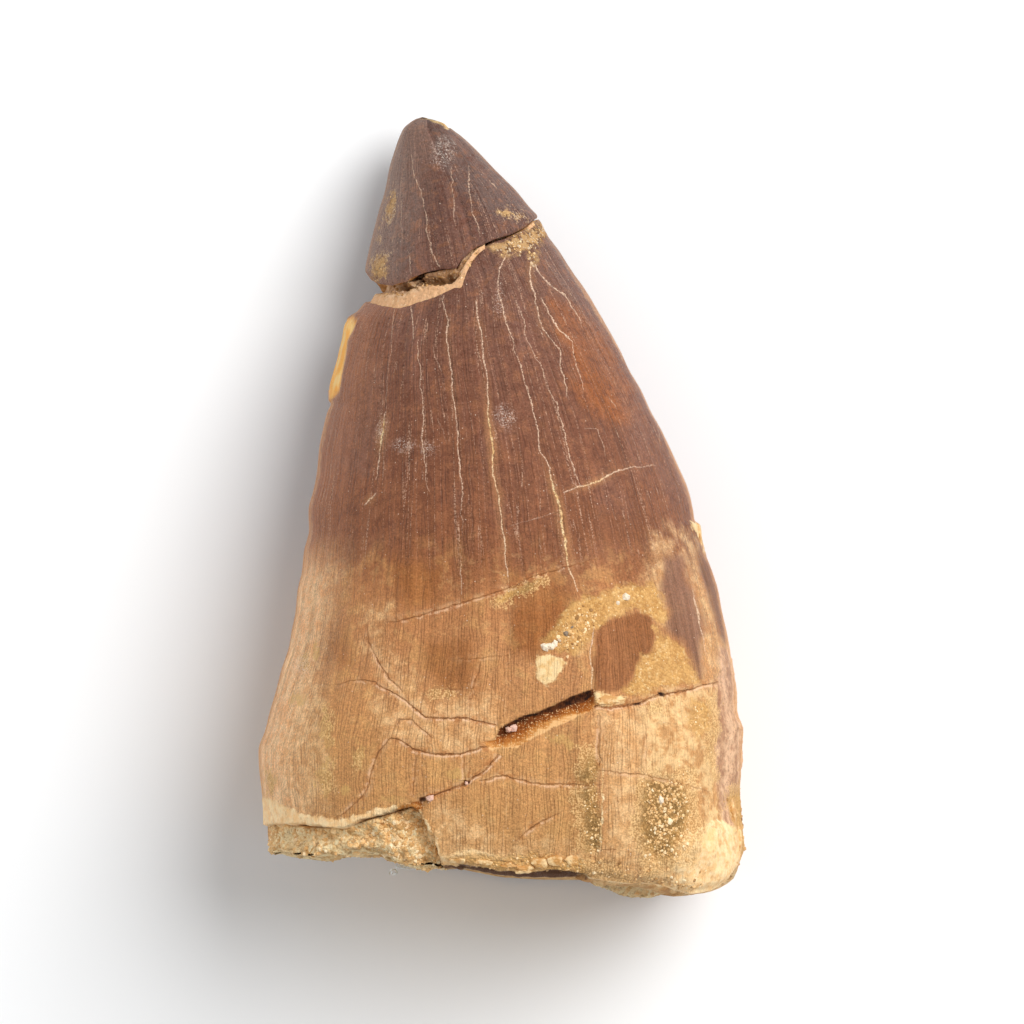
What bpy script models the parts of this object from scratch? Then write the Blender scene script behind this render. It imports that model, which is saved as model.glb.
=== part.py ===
"""Fossil mosasaur tooth lying on its back: one broken crown with its re-seated
tip, the sandy cement in the tip break and the sandy plug in its root end.
Metres, +Z up, the tip points along +Y, the table is Z = 0."""

import math

import bmesh
import bpy
import numpy as np
from mathutils import Vector

MM = 0.001

# ---------------------------------------------------------------- driving dimensions
GAP = 0.30 * MM               # room between two neighbouring pieces
RING = 64                     # points round one cross-section
SLICES = 36                   # cross-sections along the crown
BREAK_CEMENT = 0.95 * MM      # thickness of the cement wedge at the left of the tip break
WALL = 3.0 * MM               # thickness of the crown wall round the root end
PLUG_DEPTH = 4.2 * MM         # how far the sandy plug reaches into the root end
NOTCH_SINK = 1.0 * MM         # how far the plug lies under the crown surface in the corner notch
CRACK_DEPTH = 2.2 * MM        # depth of the open crack across the lower crown
BASE_Y = -24.3 * MM           # middle of the broken base

# Cross-section stations in millimetres:
# along Y, left keel X, right keel X, crest Z, belly Z, keel Z, front power, back power
STATIONS = (
    (24.95, -5.3, -4.9, 4.9, 3.9, 4.4, 2.0, 2.0),
    (24.7, -6.0, -4.0, 5.4, 3.5, 4.4, 2.0, 2.0),
    (24.3, -6.5, -3.6, 6.0, 3.2, 4.4, 2.0, 2.0),
    (22.9, -7.1, -1.8, 7.4, 2.6, 4.6, 1.9, 2.0),
    (20.3, -7.7, 0.7, 9.4, 1.9, 5.0, 1.85, 2.0),
    (17.7, -8.4, 2.6, 11.1, 1.3, 5.5, 1.85, 2.0),
    (15.2, -9.0, 4.3, 12.6, 0.8, 6.0, 1.85, 2.0),
    (13.6, -9.1, 5.4, 13.5, 0.5, 6.3, 1.85, 2.0),
    (12.0, -10.0, 6.3, 14.3, 0.25, 6.6, 1.85, 2.1),
    (10.0, -10.7, 7.5, 15.3, 0.0, 6.9, 1.85, 2.1),
    (7.4, -11.2, 8.8, 16.5, -0.2, 7.3, 1.9, 2.1),
    (3.6, -11.8, 10.7, 18.0, -0.35, 7.9, 1.9, 2.2),
    (-0.3, -12.5, 12.1, 19.4, -0.45, 8.4, 2.0, 2.2),
    (-4.2, -13.0, 13.3, 20.6, -0.5, 8.9, 2.0, 2.2),
    (-8.0, -13.7, 14.3, 21.6, -0.5, 9.4, 2.1, 2.3),
    (-11.9, -14.7, 15.0, 22.3, -0.5, 9.8, 2.2, 2.3),
    (-15.7, -15.8, 15.8, 22.7, -0.45, 10.0, 2.3, 2.4),
    (-18.3, -15.6, 15.7, 22.7, -0.35, 10.0, 2.4, 2.4),
    (-20.6, -15.2, 15.6, 22.4, -0.15, 10.0, 2.5, 2.5),
    (-22.4, -14.8, 15.5, 22.0, 0.2, 10.0, 2.6, 2.5),
    (-23.6, -14.5, 15.3, 21.6, 0.6, 10.0, 2.6, 2.5),
    (-24.3, -13.9, 14.7, 21.1, 1.1, 10.0, 2.6, 2.5),
)
# The base is broken on a slant: its left end stops short, its right knob is the lowest point.
BASE_SLANT = ((-15.0, 1.5), (-8.0, 1.2), (-2.0, 0.5), (3.0, 0.2), (8.0, -0.3), (12.0, -0.7), (15.5, 0.2))

# The tip break, seen from above, left to right (X, Y in millimetres): lower edge of the tip piece
TIP_EDGE = (
    (-12.0, 14.2), (-8.3, 14.2), (-7.4, 14.1), (-6.3, 14.4), (-5.3, 14.9), (-4.2, 15.3), (-3.1, 15.4),
    (-2.8, 15.8), (-2.0, 16.6), (-1.3, 16.9), (-0.5, 17.2), (0.5, 17.5), (1.4, 18.0), (2.2, 18.5), (6.0, 20.0),
)
# where the cement wedge runs out, measured along X
WEDGE_END_X = -0.9 * MM

# corner notch in the root end, seen from above
NOTCH = ((-17.5, -20.6), (-14.9, -20.5), (-11.8, -20.8), (-9.0, -20.4), (-6.6, -19.6), (-5.3, -19.6), (-4.3, -22.2), (-4.1, -27.0), (-17.5, -27.0))

# open crack across the lower crown, seen from above: upper and lower lip
CRACK = ((-0.5, -14.3), (0.8, -14.0), (2.4, -13.3), (4.0, -12.6), (5.6, -12.0), (5.7, -13.3), (4.2, -13.9), (2.8, -14.4), (1.6, -15.1), (0.4, -15.6), (-0.8, -15.5))


def clear_scene():
    for ob in list(bpy.data.objects):
        bpy.data.objects.remove(ob, do_unlink=True)


def interpolate(table, value):
    xs = [row[0] for row in table]
    ys = [row[1] for row in table]
    return float(np.interp(value, xs, ys))


def slopes(xs, ys):
    """Tangents that keep a curve through the stations from overshooting them."""
    step = np.diff(xs)
    rise = np.diff(ys) / step
    out = np.zeros(len(xs))
    out[0], out[-1] = rise[0], rise[-1]
    for i in range(1, len(xs) - 1):
        if rise[i - 1] * rise[i] > 0:
            w0, w1 = 2 * step[i] + step[i - 1], step[i] + 2 * step[i - 1]
            out[i] = (w0 + w1) / (w0 / rise[i - 1] + w1 / rise[i])
    return out


def smooth_stations(ys):
    """The station table read at the given heights along the crown."""
    table = np.array(STATIONS[::-1])
    xs = table[:, 0]
    columns = []
    for k in range(1, table.shape[1]):
        m = slopes(xs, table[:, k])
        i = np.clip(np.searchsorted(xs, ys, side="right") - 1, 0, len(xs) - 2)
        h = xs[i + 1] - xs[i]
        t = np.clip((ys - xs[i]) / h, 0, 1)
        a, b = table[i, k], table[i + 1, k]
        columns.append((1 + 2 * t) * (1 - t) ** 2 * a + t * (1 - t) ** 2 * h * m[i] + t * t * (3 - 2 * t) * b + t * t * (t - 1) * h * m[i + 1])
    return [tuple(float(v) for v in (y, *row)) for y, row in zip(ys, np.array(columns).T)]


def slice_heights():
    """Even steps along the crown, closer together at the rounded tip."""
    top, bottom = STATIONS[0][0], STATIONS[-1][0]
    share = np.linspace(0, 1, SLICES) ** 1.25
    return top + (bottom - top) * share


def ring_points(station, inset=0.0, floor_clip=True):
    """One closed cross-section: front half over the right keel to the left one, then the back."""
    y, left, right, crest, belly, keel, front_power, back_power = station
    left, right = left + inset, right - inset
    crest, belly = crest - inset, belly + inset
    cx, half = (left + right) / 2, (right - left) / 2
    points = []
    for i in range(RING):
        a = 2 * math.pi * i / RING
        c, s = math.cos(a), math.sin(a)
        power = front_power if s >= 0 else back_power
        reach = (crest - keel) if s >= 0 else (keel - belly)
        x = cx + half * math.copysign(abs(c) ** (2 / power), c)
        z = keel + reach * math.copysign(abs(s) ** (2 / power), s)
        if floor_clip and z < 0.0:
            z = 0.0
        points.append((x, y, z))
    return points


def slanted(point):
    """Slides the last stretch of the crown along Y so that the base ends on a slant."""
    x, y, z = point
    share = min(max((-15.0 - y) / 9.0, 0.0), 1.0)
    share = share * share * (3 - 2 * share)
    return (x, y + share * interpolate(BASE_SLANT, x), z)


def loft(name, rings, scale=MM):
    bm = bmesh.new()
    rows = [[bm.verts.new(Vector(p) * scale) for p in ring] for ring in rings]
    count = len(rows[0])
    for lower, upper in zip(rows[:-1], rows[1:]):
        for i in range(count):
            j = (i + 1) % count
            bm.faces.new((lower[i], lower[j], upper[j], upper[i]))
    for row, turn in ((rows[0], True), (rows[-1], False)):
        middle = sum((v.co for v in row), Vector()) / count
        hub = bm.verts.new(middle)
        for i in range(count):
            a, b = row[i], row[(i + 1) % count]
            bm.faces.new((b, a, hub) if turn else (a, b, hub))
    bmesh.ops.remove_doubles(bm, verts=bm.verts, dist=1e-6)
    bmesh.ops.recalc_face_normals(bm, faces=bm.faces)
    mesh = bpy.data.meshes.new(name)
    bm.to_mesh(mesh)
    bm.free()
    return bpy.data.objects.new(name, mesh)


def prism(name, outline, z_low, z_high):
    """Straight-sided cutter from an outline seen from above, millimetres."""
    bm = bmesh.new()
    low = [bm.verts.new(Vector((x, y, z_low)) * MM) for x, y in outline]
    high = [bm.verts.new(Vector((x, y, z_high)) * MM) for x, y in outline]
    bm.faces.new(low)
    bm.faces.new(high)
    for i in range(len(outline)):
        j = (i + 1) % len(outline)
        bm.faces.new((low[i], low[j], high[j], high[i]))
    bmesh.ops.triangulate(bm, faces=[f for f in bm.faces if len(f.verts) > 4])
    bmesh.ops.recalc_face_normals(bm, faces=bm.faces)
    mesh = bpy.data.meshes.new(name)
    bm.to_mesh(mesh)
    bm.free()
    ob = bpy.data.objects.new(name, mesh)
    ob.hide_render = True
    ob.display_type = "WIRE"
    return ob


def material(name, colour, roughness):
    mat = bpy.data.materials.new(name)
    mat.use_nodes = True
    shader = mat.node_tree.nodes["Principled BSDF"]
    shader.inputs["Base Color"].default_value = (*colour, 1.0)
    shader.inputs["Roughness"].default_value = roughness
    shader.inputs["Metallic"].default_value = 0.0
    mat.diffuse_color = (*colour, 1.0)
    return mat


def boolean(ob, cutter, operation):
    mod = ob.modifiers.new(f"{operation.title()} {cutter.name}", "BOOLEAN")
    mod.operation = operation
    mod.solver = "EXACT"
    mod.object = cutter
    return mod


def finish(ob, mat, angle):
    ob.data.materials.clear()
    ob.data.materials.append(mat)
    for poly in ob.data.polygons:
        poly.use_smooth = True
    ob.data.set_sharp_from_angle(angle=math.radians(angle))


clear_scene()
scene = bpy.context.scene
parts = bpy.data.collections.new("fossil_mosasaur_tooth")
cutters = bpy.data.collections.new("cutters")
scene.collection.children.link(parts)
scene.collection.children.link(cutters)

root = bpy.data.objects.new("tooth_root", None)
root.empty_display_size = 0.01
parts.objects.link(root)

enamel = material("enamel_brown", (0.40, 0.20, 0.095), 0.42)
tip_enamel = material("tip_enamel", (0.19, 0.11, 0.085), 0.35)
cement = material("break_cement", (0.56, 0.34, 0.17), 0.85)
sediment = material("base_sediment", (0.62, 0.40, 0.19), 0.9)

# ---------------------------------------------------------------- cross-sections
crown_rings = [[slanted(p) for p in ring_points(s)] for s in smooth_stations(slice_heights())]

# ---------------------------------------------------------------- cutters
gap = GAP / MM
wedge = BREAK_CEMENT / MM
wedge_end = WEDGE_END_X / MM


def wedge_width(x):
    """Opening of the tip break at X: the cement wedge plus its two gaps, closing to one gap."""
    if x >= wedge_end:
        return gap
    grow = min((wedge_end - x) / 2.2, 1.0)
    return gap + grow * (wedge + gap)


tip_lower = list(TIP_EDGE)
body_upper = [(x, y - wedge_width(x)) for x, y in TIP_EDGE]
keep_tip = prism("tip_side", tip_lower + [(6.0, 30.0), (-12.0, 30.0)], -3.0, 30.0)
keep_body = prism("body_side", list(reversed(body_upper)) + [(-20.0, body_upper[0][1]), (-20.0, -30.0), (20.0, -30.0), (20.0, body_upper[-1][1])], -3.0, 30.0)
cement_upper = [(x, y - gap) for x, y in TIP_EDGE if x < wedge_end - 0.45]
cement_lower = [(x, y - wedge_width(x) + gap) for x, y in TIP_EDGE if x < wedge_end - 0.45]
keep_cement = prism("cement_slot", cement_upper + list(reversed(cement_lower)), -3.0, 30.0)
notch_cut = prism("corner_notch", NOTCH, 7.5, 30.0)

# the open crack is cut square to the crown, down to its depth below the crest
crack_cut = prism("open_crack", CRACK, 22.4 - CRACK_DEPTH / MM, 26.0)


def plug_rings(grow):
    """Sandy plug in the pulp cavity: the crown's own sections moved in by the wall."""
    wall = WALL / MM - grow
    rings = []
    depth = PLUG_DEPTH / MM + grow
    for share in (0.0, 0.12, 0.35, 0.7, 1.0):
        y = BASE_Y / MM + depth * (1 - share) if share < 1 else BASE_Y / MM - (0.0 if grow == 0 else 3.0)
        lower = [s for s in STATIONS if s[0] <= y]
        upper = [s for s in STATIONS if s[0] > y]
        if not lower:
            station = (y, *STATIONS[-1][1:])
        else:
            a, b = upper[-1], lower[0]
            t = (a[0] - y) / (a[0] - b[0])
            station = tuple(p + (q - p) * t for p, q in zip(a, b))
            station = (y, *station[1:])
        taper = wall + 2.2 * (1 - share) ** 3
        ring = [slanted(p) for p in ring_points(station, taper, False)]
        rings.append(ring)
    return rings


pulp_cut = loft("pulp_cavity", plug_rings(gap))
pulp_cut.hide_render = True
pulp_cut.display_type = "WIRE"

# what the sediment fills in the corner notch: the crown sunk by the notch depth
sink = NOTCH_SINK / MM
corner_stations = [s for s in STATIONS if s[0] < -17.5]
corner_fill = loft("corner_fill", [[slanted(p) for p in ring_points((s[0] + (0.5 if s is corner_stations[-1] else 0.0), *s[1:]), sink, False)] for s in corner_stations])
corner_fill.hide_render = True
corner_fill.display_type = "WIRE"
notch_inner = [(-17.5, -20.9), (-14.9, -20.85), (-11.7, -21.15), (-9.0, -20.75), (-6.7, -19.95), (-5.55, -19.95), (-4.65, -22.25), (-4.45, -27.0), (-17.5, -27.0)]
corner_keep = prism("corner_keep", notch_inner, 7.5 + gap, 30.0)
boolean(corner_fill, corner_keep, "INTERSECT")

for cutter in (keep_tip, keep_body, keep_cement, notch_cut, crack_cut, pulp_cut, corner_fill, corner_keep):
    cutters.objects.link(cutter)

# ---------------------------------------------------------------- the pieces
crown_body = loft("crown_body", crown_rings)
boolean(crown_body, keep_body, "INTERSECT")
boolean(crown_body, notch_cut, "DIFFERENCE")
boolean(crown_body, pulp_cut, "DIFFERENCE")
boolean(crown_body, crack_cut, "DIFFERENCE")
finish(crown_body, enamel, 32)

crown_tip = loft("crown_tip", crown_rings)
boolean(crown_tip, keep_tip, "INTERSECT")
finish(crown_tip, tip_enamel, 32)

tip_break_cement = loft("tip_break_cement", crown_rings)
boolean(tip_break_cement, keep_cement, "INTERSECT")
finish(tip_break_cement, cement, 32)

base_sediment = loft("base_sediment", plug_rings(0.0))
boolean(base_sediment, corner_fill, "UNION")
finish(base_sediment, sediment, 32)

for ob in (crown_body, crown_tip, tip_break_cement, base_sediment):
    parts.objects.link(ob)
    ob.parent = root
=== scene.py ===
"""Fossil mosasaur tooth on a pale floor, seen from straight above."""

import math

import bpy
import numpy as np
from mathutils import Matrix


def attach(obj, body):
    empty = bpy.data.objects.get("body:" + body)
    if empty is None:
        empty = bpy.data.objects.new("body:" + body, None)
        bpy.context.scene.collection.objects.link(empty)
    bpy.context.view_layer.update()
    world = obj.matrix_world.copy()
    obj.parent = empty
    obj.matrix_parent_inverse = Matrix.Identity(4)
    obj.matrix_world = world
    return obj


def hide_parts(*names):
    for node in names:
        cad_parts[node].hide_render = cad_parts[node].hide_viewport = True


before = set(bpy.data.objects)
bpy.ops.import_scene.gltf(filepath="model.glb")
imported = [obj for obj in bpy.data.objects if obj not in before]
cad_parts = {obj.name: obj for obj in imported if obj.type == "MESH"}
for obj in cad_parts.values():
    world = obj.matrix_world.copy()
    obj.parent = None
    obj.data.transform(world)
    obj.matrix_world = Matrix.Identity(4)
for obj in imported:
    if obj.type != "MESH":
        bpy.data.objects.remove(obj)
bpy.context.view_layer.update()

# =============================================================== measures
MM = 0.001
S = 0.0644            # millimetres per unit of the drawing plane below (units of the 1024 wide view)
CAM_H = 900.0         # camera height, mm
REF_Z = 8.0           # height of the drawing plane, mm
CX, CY = 0.483, -0.419  # middle of the view, mm


def place(px, py, z):
    """Drawing units to millimetres on the table, for a point at height z, as seen by the camera."""
    k = (CAM_H - z) / (CAM_H - REF_Z)
    return CX + (px - 512.0) * S * k, CY + (512.0 - py) * S * k


# along Y, crest Z, belly Z, keel Z, front power, back power (mm), the same sections as the solid
SECTIONS = np.array((
    (-24.9, 21.0, 1.1, 10.0, 2.6, 2.5),
    (-24.3, 21.3, 0.9, 10.0, 2.6, 2.5),
    (-23.6, 21.6, 0.6, 10.0, 2.6, 2.5),
    (-22.4, 22.0, 0.2, 10.0, 2.6, 2.5),
    (-20.6, 22.4, -0.15, 10.0, 2.5, 2.5),
    (-18.3, 22.7, -0.35, 10.0, 2.4, 2.4),
    (-15.7, 22.7, -0.45, 10.0, 2.3, 2.4),
    (-11.9, 22.3, -0.5, 9.8, 2.2, 2.3),
    (-8.0, 21.6, -0.5, 9.4, 2.1, 2.3),
    (-4.2, 20.6, -0.5, 8.9, 2.0, 2.2),
    (-0.3, 19.4, -0.45, 8.4, 2.0, 2.2),
    (3.6, 18.0, -0.35, 7.9, 1.9, 2.2),
    (7.4, 16.5, -0.2, 7.3, 1.9, 2.1),
    (10.0, 15.3, 0.0, 6.9, 1.85, 2.1),
    (12.0, 14.3, 0.25, 6.6, 1.85, 2.1),
    (13.6, 13.5, 0.5, 6.3, 1.85, 2.0),
    (15.2, 12.6, 0.8, 6.0, 1.85, 2.0),
    (17.7, 11.1, 1.3, 5.5, 1.85, 2.0),
    (20.3, 9.4, 1.9, 5.0, 1.85, 2.0),
    (22.9, 7.4, 2.6, 4.6, 1.9, 2.0),
    (24.3, 6.0, 3.2, 4.4, 2.0, 2.0),
    (24.7, 5.4, 3.5, 4.4, 2.0, 2.0),
    (24.95, 4.75, 4.0, 4.4, 2.0, 2.0),
))

# left and right edge of the crown, drawing units (row, column)
LEFT = np.array((
    (117, 421), (119, 416), (122, 411), (128, 404), (138, 399), (150, 395), (170, 389), (190, 385), (210, 379), (230, 374),
    (250, 369), (264, 366), (273, 365), (280, 370), (286, 372), (299, 365), (306, 361), (312, 356), (316, 349), (324, 343), (340, 340),
    (350, 338), (360, 336), (370, 333), (390, 328), (399, 328), (404, 331), (412, 328), (430, 324), (450, 320), (470, 318), (490, 314),
    (510, 309), (530, 310), (550, 305), (570, 303), (590, 298), (610, 296), (630, 292), (650, 288), (670, 281), (690, 276),
    (710, 270), (730, 265), (750, 259), (770, 260), (790, 262), (810, 264), (830, 264), (850, 266), (880, 270), (900, 272),
), float)
RIGHT = np.array((
    (117, 424), (119, 435), (122, 442), (128, 450), (138, 463), (150, 476), (170, 495), (190, 515), (210, 532), (217, 539), (223, 541),
    (230, 544), (238, 549), (250, 558), (270, 571), (290, 585), (310, 597), (330, 609), (350, 620), (370, 630), (390, 642), (410, 651),
    (430, 662), (450, 671), (470, 679), (490, 687), (510, 692), (521, 694), (526, 699), (540, 701), (552, 705), (570, 712), (590, 718),
    (610, 722), (630, 727), (650, 731), (670, 734), (690, 738), (710, 741), (730, 749), (750, 750), (770, 749), (790, 748),
    (810, 748), (830, 745), (850, 742), (870, 741), (900, 740),
), float)
# break line at the foot of the tip piece and at the head of the crown, (column, row)
TIP_FOOT = np.array(((330, 284), (365, 275), (369, 281), (376, 284), (390, 285), (406, 281), (410, 277), (423, 272), (440, 268), (456, 267),
                     (461, 259), (473, 248), (484, 243), (496, 238), (512, 233), (527, 226), (539, 217), (560, 205)), float)
CROWN_HEAD = np.array(((330, 300), (365, 301), (380, 304), (398, 307), (410, 304), (423, 299), (436, 295), (448, 290), (462, 284), (466, 271), (472, 258.5), (478, 251),
                       (484, 246), (496, 240.2), (512, 235.2), (527, 228.2), (539, 219.4), (560, 207.4)), float)
_x = np.linspace(330.0, 560.0, 70)
BACK_BREAK = np.stack((_x, 0.5 * (np.interp(_x, TIP_FOOT[:, 0], TIP_FOOT[:, 1]) + np.interp(_x, CROWN_HEAD[:, 0], CROWN_HEAD[:, 1]))), axis=1)
BASE_FOOT = np.array(((255, 848), (275, 852), (300, 853), (337, 855), (346, 848), (366, 847), (382, 849), (390, 857), (398, 864), (420, 867), (450, 867), (466, 870), (481, 873),
                      (496, 876), (519, 879), (543, 880), (569, 880), (589, 880), (607, 883), (627, 885), (650, 886), (672, 888), (684, 892),
                      (694, 894), (704, 893), (714, 890), (723, 886), (732, 879), (738, 870), (742, 858), (755, 850)), float)


def slopes(xs, ys):
    step = np.diff(xs)
    rise = np.diff(ys) / step
    out = np.zeros(len(xs))
    out[0], out[-1] = rise[0], rise[-1]
    for i in range(1, len(xs) - 1):
        if rise[i - 1] * rise[i] > 0:
            w0, w1 = 2 * step[i] + step[i - 1], step[i] + 2 * step[i - 1]
            out[i] = (w0 + w1) / (w0 / rise[i - 1] + w1 / rise[i])
    return out


class Curve:
    """A smooth curve through table points that never overshoots them."""

    def __init__(self, xs, ys):
        self.xs, self.ys = np.asarray(xs, float), np.asarray(ys, float)
        self.m = slopes(self.xs, self.ys)

    def __call__(self, x):
        xs, ys, m = self.xs, self.ys, self.m
        x = np.clip(x, xs[0], xs[-1])
        i = np.clip(np.searchsorted(xs, x, side="right") - 1, 0, len(xs) - 2)
        h = xs[i + 1] - xs[i]
        t = (x - xs[i]) / h
        return ((1 + 2 * t) * (1 - t) ** 2 * ys[i] + t * (1 - t) ** 2 * h * m[i]
                + t * t * (3 - 2 * t) * ys[i + 1] + t * t * (t - 1) * h * m[i + 1])


left_edge = Curve(LEFT[:, 0], LEFT[:, 1])
right_edge = Curve(RIGHT[:, 0], RIGHT[:, 1])
section = [Curve(SECTIONS[:, 0], SECTIONS[:, k]) for k in range(1, 6)]

# inside the outline the grid follows calmer edges, so small chips of the outline stay at the outline
_rows = np.arange(90.0, 930.0)
_kernel = np.exp(-0.5 * (np.arange(-60, 61) / 20.0) ** 2)
_kernel /= _kernel.sum()


def calmed(edge):
    values = edge(_rows)
    out = np.convolve(np.pad(values, 60, mode="edge"), _kernel, mode="valid")
    keep = smooth(_rows, 150, 240)
    return lambda y: np.interp(y, _rows, values * (1 - keep) + out * keep)


def columns_at(y, c):
    """Drawing column of the share c across the crown at row y."""
    lc, rc, le, re = left_calm(y), right_calm(y), left_edge(y), right_edge(y)
    x = lc + (rc - lc) * c
    width = rc - lc
    # triangle weights keep the columns in order
    x = x + (le - lc) * np.clip(1 - c * width / 46.0, 0, 1) ** 2 + (re - rc) * np.clip(1 - (1 - c) * width / 46.0, 0, 1) ** 2
    return x


# =============================================================== noise
def lattice(ix, iy, iz, seed):
    h = (ix.astype(np.int64) * 374761393 + iy.astype(np.int64) * 668265263 + iz.astype(np.int64) * 1440662683 + seed * 974634777) & 0xFFFFFFFF
    h = ((h ^ (h >> 13)) * 1274126177) & 0xFFFFFFFF
    h = ((h ^ (h >> 16)) * 2246822519) & 0xFFFFFFFF
    return (h ^ (h >> 15)) / 4294967295.0


def noise(p, scale, seed=0, octaves=1, rough=0.5):
    """Smooth lattice noise from -1 to 1; p is (n, 3)."""
    p = np.asarray(p, float) * scale
    total, amp, norm = np.zeros(len(p)), 1.0, 0.0
    for o in range(octaves):
        f = np.floor(p)
        t = p - f
        t = t * t * (3 - 2 * t)
        i = f.astype(np.int64)
        acc = 0.0
        for dx in (0, 1):
            wx = t[:, 0] if dx else 1 - t[:, 0]
            for dy in (0, 1):
                wy = t[:, 1] if dy else 1 - t[:, 1]
                for dz in (0, 1):
                    wz = t[:, 2] if dz else 1 - t[:, 2]
                    acc = acc + wx * wy * wz * lattice(i[:, 0] + dx, i[:, 1] + dy, i[:, 2] + dz, seed + o * 17)
        total += amp * (acc * 2 - 1)
        norm += amp
        amp *= rough
        p = p * 2.03 + 11.7
    return total / norm


def smooth(x, lo, hi):
    t = np.clip((x - lo) / (hi - lo), 0, 1)
    return t * t * (3 - 2 * t)


left_calm, right_calm = calmed(left_edge), calmed(right_edge)

# =============================================================== drawn features (column, row[, half width])
REACH = 14.0


def polygon_field(px, py, poly, reach=REACH):
    """Signed distance to a polygon's edge, positive inside, clamped to reach."""
    poly = np.asarray(poly, float)
    out = np.full(px.shape, -reach)
    near = ((px > poly[:, 0].min() - reach) & (px < poly[:, 0].max() + reach)
            & (py > poly[:, 1].min() - reach) & (py < poly[:, 1].max() + reach))
    if not near.any():
        return out
    x, y = px[near], py[near]
    best = np.full(x.shape, 1e9)
    inside = np.zeros(x.shape, bool)
    for a, b in zip(poly, np.roll(poly, -1, axis=0)):
        dx, dy = b - a
        t = np.clip(((x - a[0]) * dx + (y - a[1]) * dy) / max(dx * dx + dy * dy, 1e-9), 0, 1)
        best = np.minimum(best, np.hypot(x - a[0] - t * dx, y - a[1] - t * dy))
        cross = (a[1] > y) != (b[1] > y)
        with np.errstate(divide="ignore", invalid="ignore"):
            inside ^= cross & (x < (b[0] - a[0]) * (y - a[1]) / (b[1] - a[1] + 1e-12) + a[0])
    out[near] = np.clip(np.where(inside, best, -best), -reach, reach)
    return out


def union_field(px, py, polys, reach=REACH):
    out = np.full(px.shape, -reach)
    for poly in polys:
        out = np.maximum(out, polygon_field(px, py, poly, reach))
    return out


def spots_field(px, py, spots):
    out = np.full(px.shape, -REACH)
    for x, y, rx, ry in spots:
        d = (1 - np.hypot((px - x) / rx, (py - y) / ry)) * min(rx, ry)
        out = np.maximum(out, np.clip(d, -REACH, REACH))
    return out


def line_field(px, py, lines, reach=9.0):
    """Signed distance to the nearest line, and that line's half width there (0 past its ends)."""
    dist = np.full(px.shape, reach)
    width = np.zeros(px.shape)
    best = np.full(px.shape, reach)
    for line in lines:
        line = np.asarray(line, float)
        near = ((px > line[:, 0].min() - reach) & (px < line[:, 0].max() + reach)
                & (py > line[:, 1].min() - reach) & (py < line[:, 1].max() + reach))
        idx = np.nonzero(near)[0]
        if not len(idx):
            continue
        x, y = px[idx], py[idx]
        b_abs = np.full(x.shape, 1e9)
        b_sgn, b_wid = np.zeros(x.shape), np.zeros(x.shape)
        last = len(line) - 2
        for k, (a, b) in enumerate(zip(line[:-1], line[1:])):
            dx, dy = b[0] - a[0], b[1] - a[1]
            raw = ((x - a[0]) * dx + (y - a[1]) * dy) / max(dx * dx + dy * dy, 1e-9)
            t = np.clip(raw, 0, 1)
            d = np.hypot(x - a[0] - t * dx, y - a[1] - t * dy)
            past = ((raw < 0) & (k == 0)) | ((raw > 1) & (k == last))
            w = np.where(past, 0.0, a[2] + (b[2] - a[2]) * t)
            hit = d < b_abs
            b_abs = np.where(hit, d, b_abs)
            b_sgn = np.where(hit, np.sign(dx * (y - a[1]) - dy * (x - a[0])), b_sgn)
            b_wid = np.where(hit, w, b_wid)
        take = b_abs < best[idx]
        sel = idx[take]
        best[sel] = b_abs[take]
        dist[sel] = b_abs[take] * np.where(b_sgn[take] == 0, 1, b_sgn[take])
        width[sel] = np.where(b_abs[take] < reach * 0.8, b_wid[take], 0.0)
    return dist, width


PALE_1 = [  # thin mineral-filled cracks, every second one
    ((411, 155, .7), (414, 173, .9), (420, 188, .8), (425, 213, .9), (426, 231, .8), (430, 249, .9), (440, 266, .6)),
    ((469, 166, .6), (470, 185, .9), (473, 213, .8), (477, 224, .9), (481, 238, .5)),
    ((411, 305, .8), (412, 322, 1.1), (412, 339, .7)),
    ((443, 295, .9), (447, 326, 1.2), (448, 346, 1.3), (451, 369, 1.1), (453, 392, 1.3), (455, 413, 1.2), (457, 433, 1.0), (459, 459, 1.1),
     (461, 484, .9), (463, 517, .6), (462, 545, .25), (461, 573, .8), (461, 596, .6)),
    ((506, 256, 1.2), (500, 266, 1.0), (499, 280, .9), (500, 295, 1.1), (504, 313, 1.2), (509, 331, .9), (517, 354, .8), (524, 382, .9), (532, 402, 1.0), (537, 425, 1.0),
     (541, 451, 1.2), (549, 469, 1.3), (554, 492, 2.0), (559, 510, 2.4), (563, 530, 2.2), (567, 550, 2.0), (570, 571, 1.6), (577, 591, 1.4)),
    ((533, 262, 1.6), (531, 272, 1.4), (533, 284, 1.3), (535, 290, 1.1), (540, 313, 1.3), (545, 328, 1.2), (558, 349, .9), (565, 377, 1.1), (566, 397, .6)),
    ((536, 264, 1.0), (543, 276, 1.0), (551, 283, 1.1), (565, 293, 1.1), (575, 311, .9), (583, 328, .5)),
    ((583, 429, .5), (597, 430, .7), (604, 448, .7), (607, 459, .4)),
    ((386, 413, 1.0), (383, 430, 2.4), (380, 450, 1.4), (377, 479, .8)),
    ((610, 395, .8), (616, 410, .6)),
    ((690, 588, .5), (697, 612, 1.5), (702, 632, 1.2), (707, 656, .6)),
    ((336, 430, .4), (330, 480, .5), (324, 520, .4)),
    ((441, 371, .5), (436, 356, .6), (433, 344, .4)),
]
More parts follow.
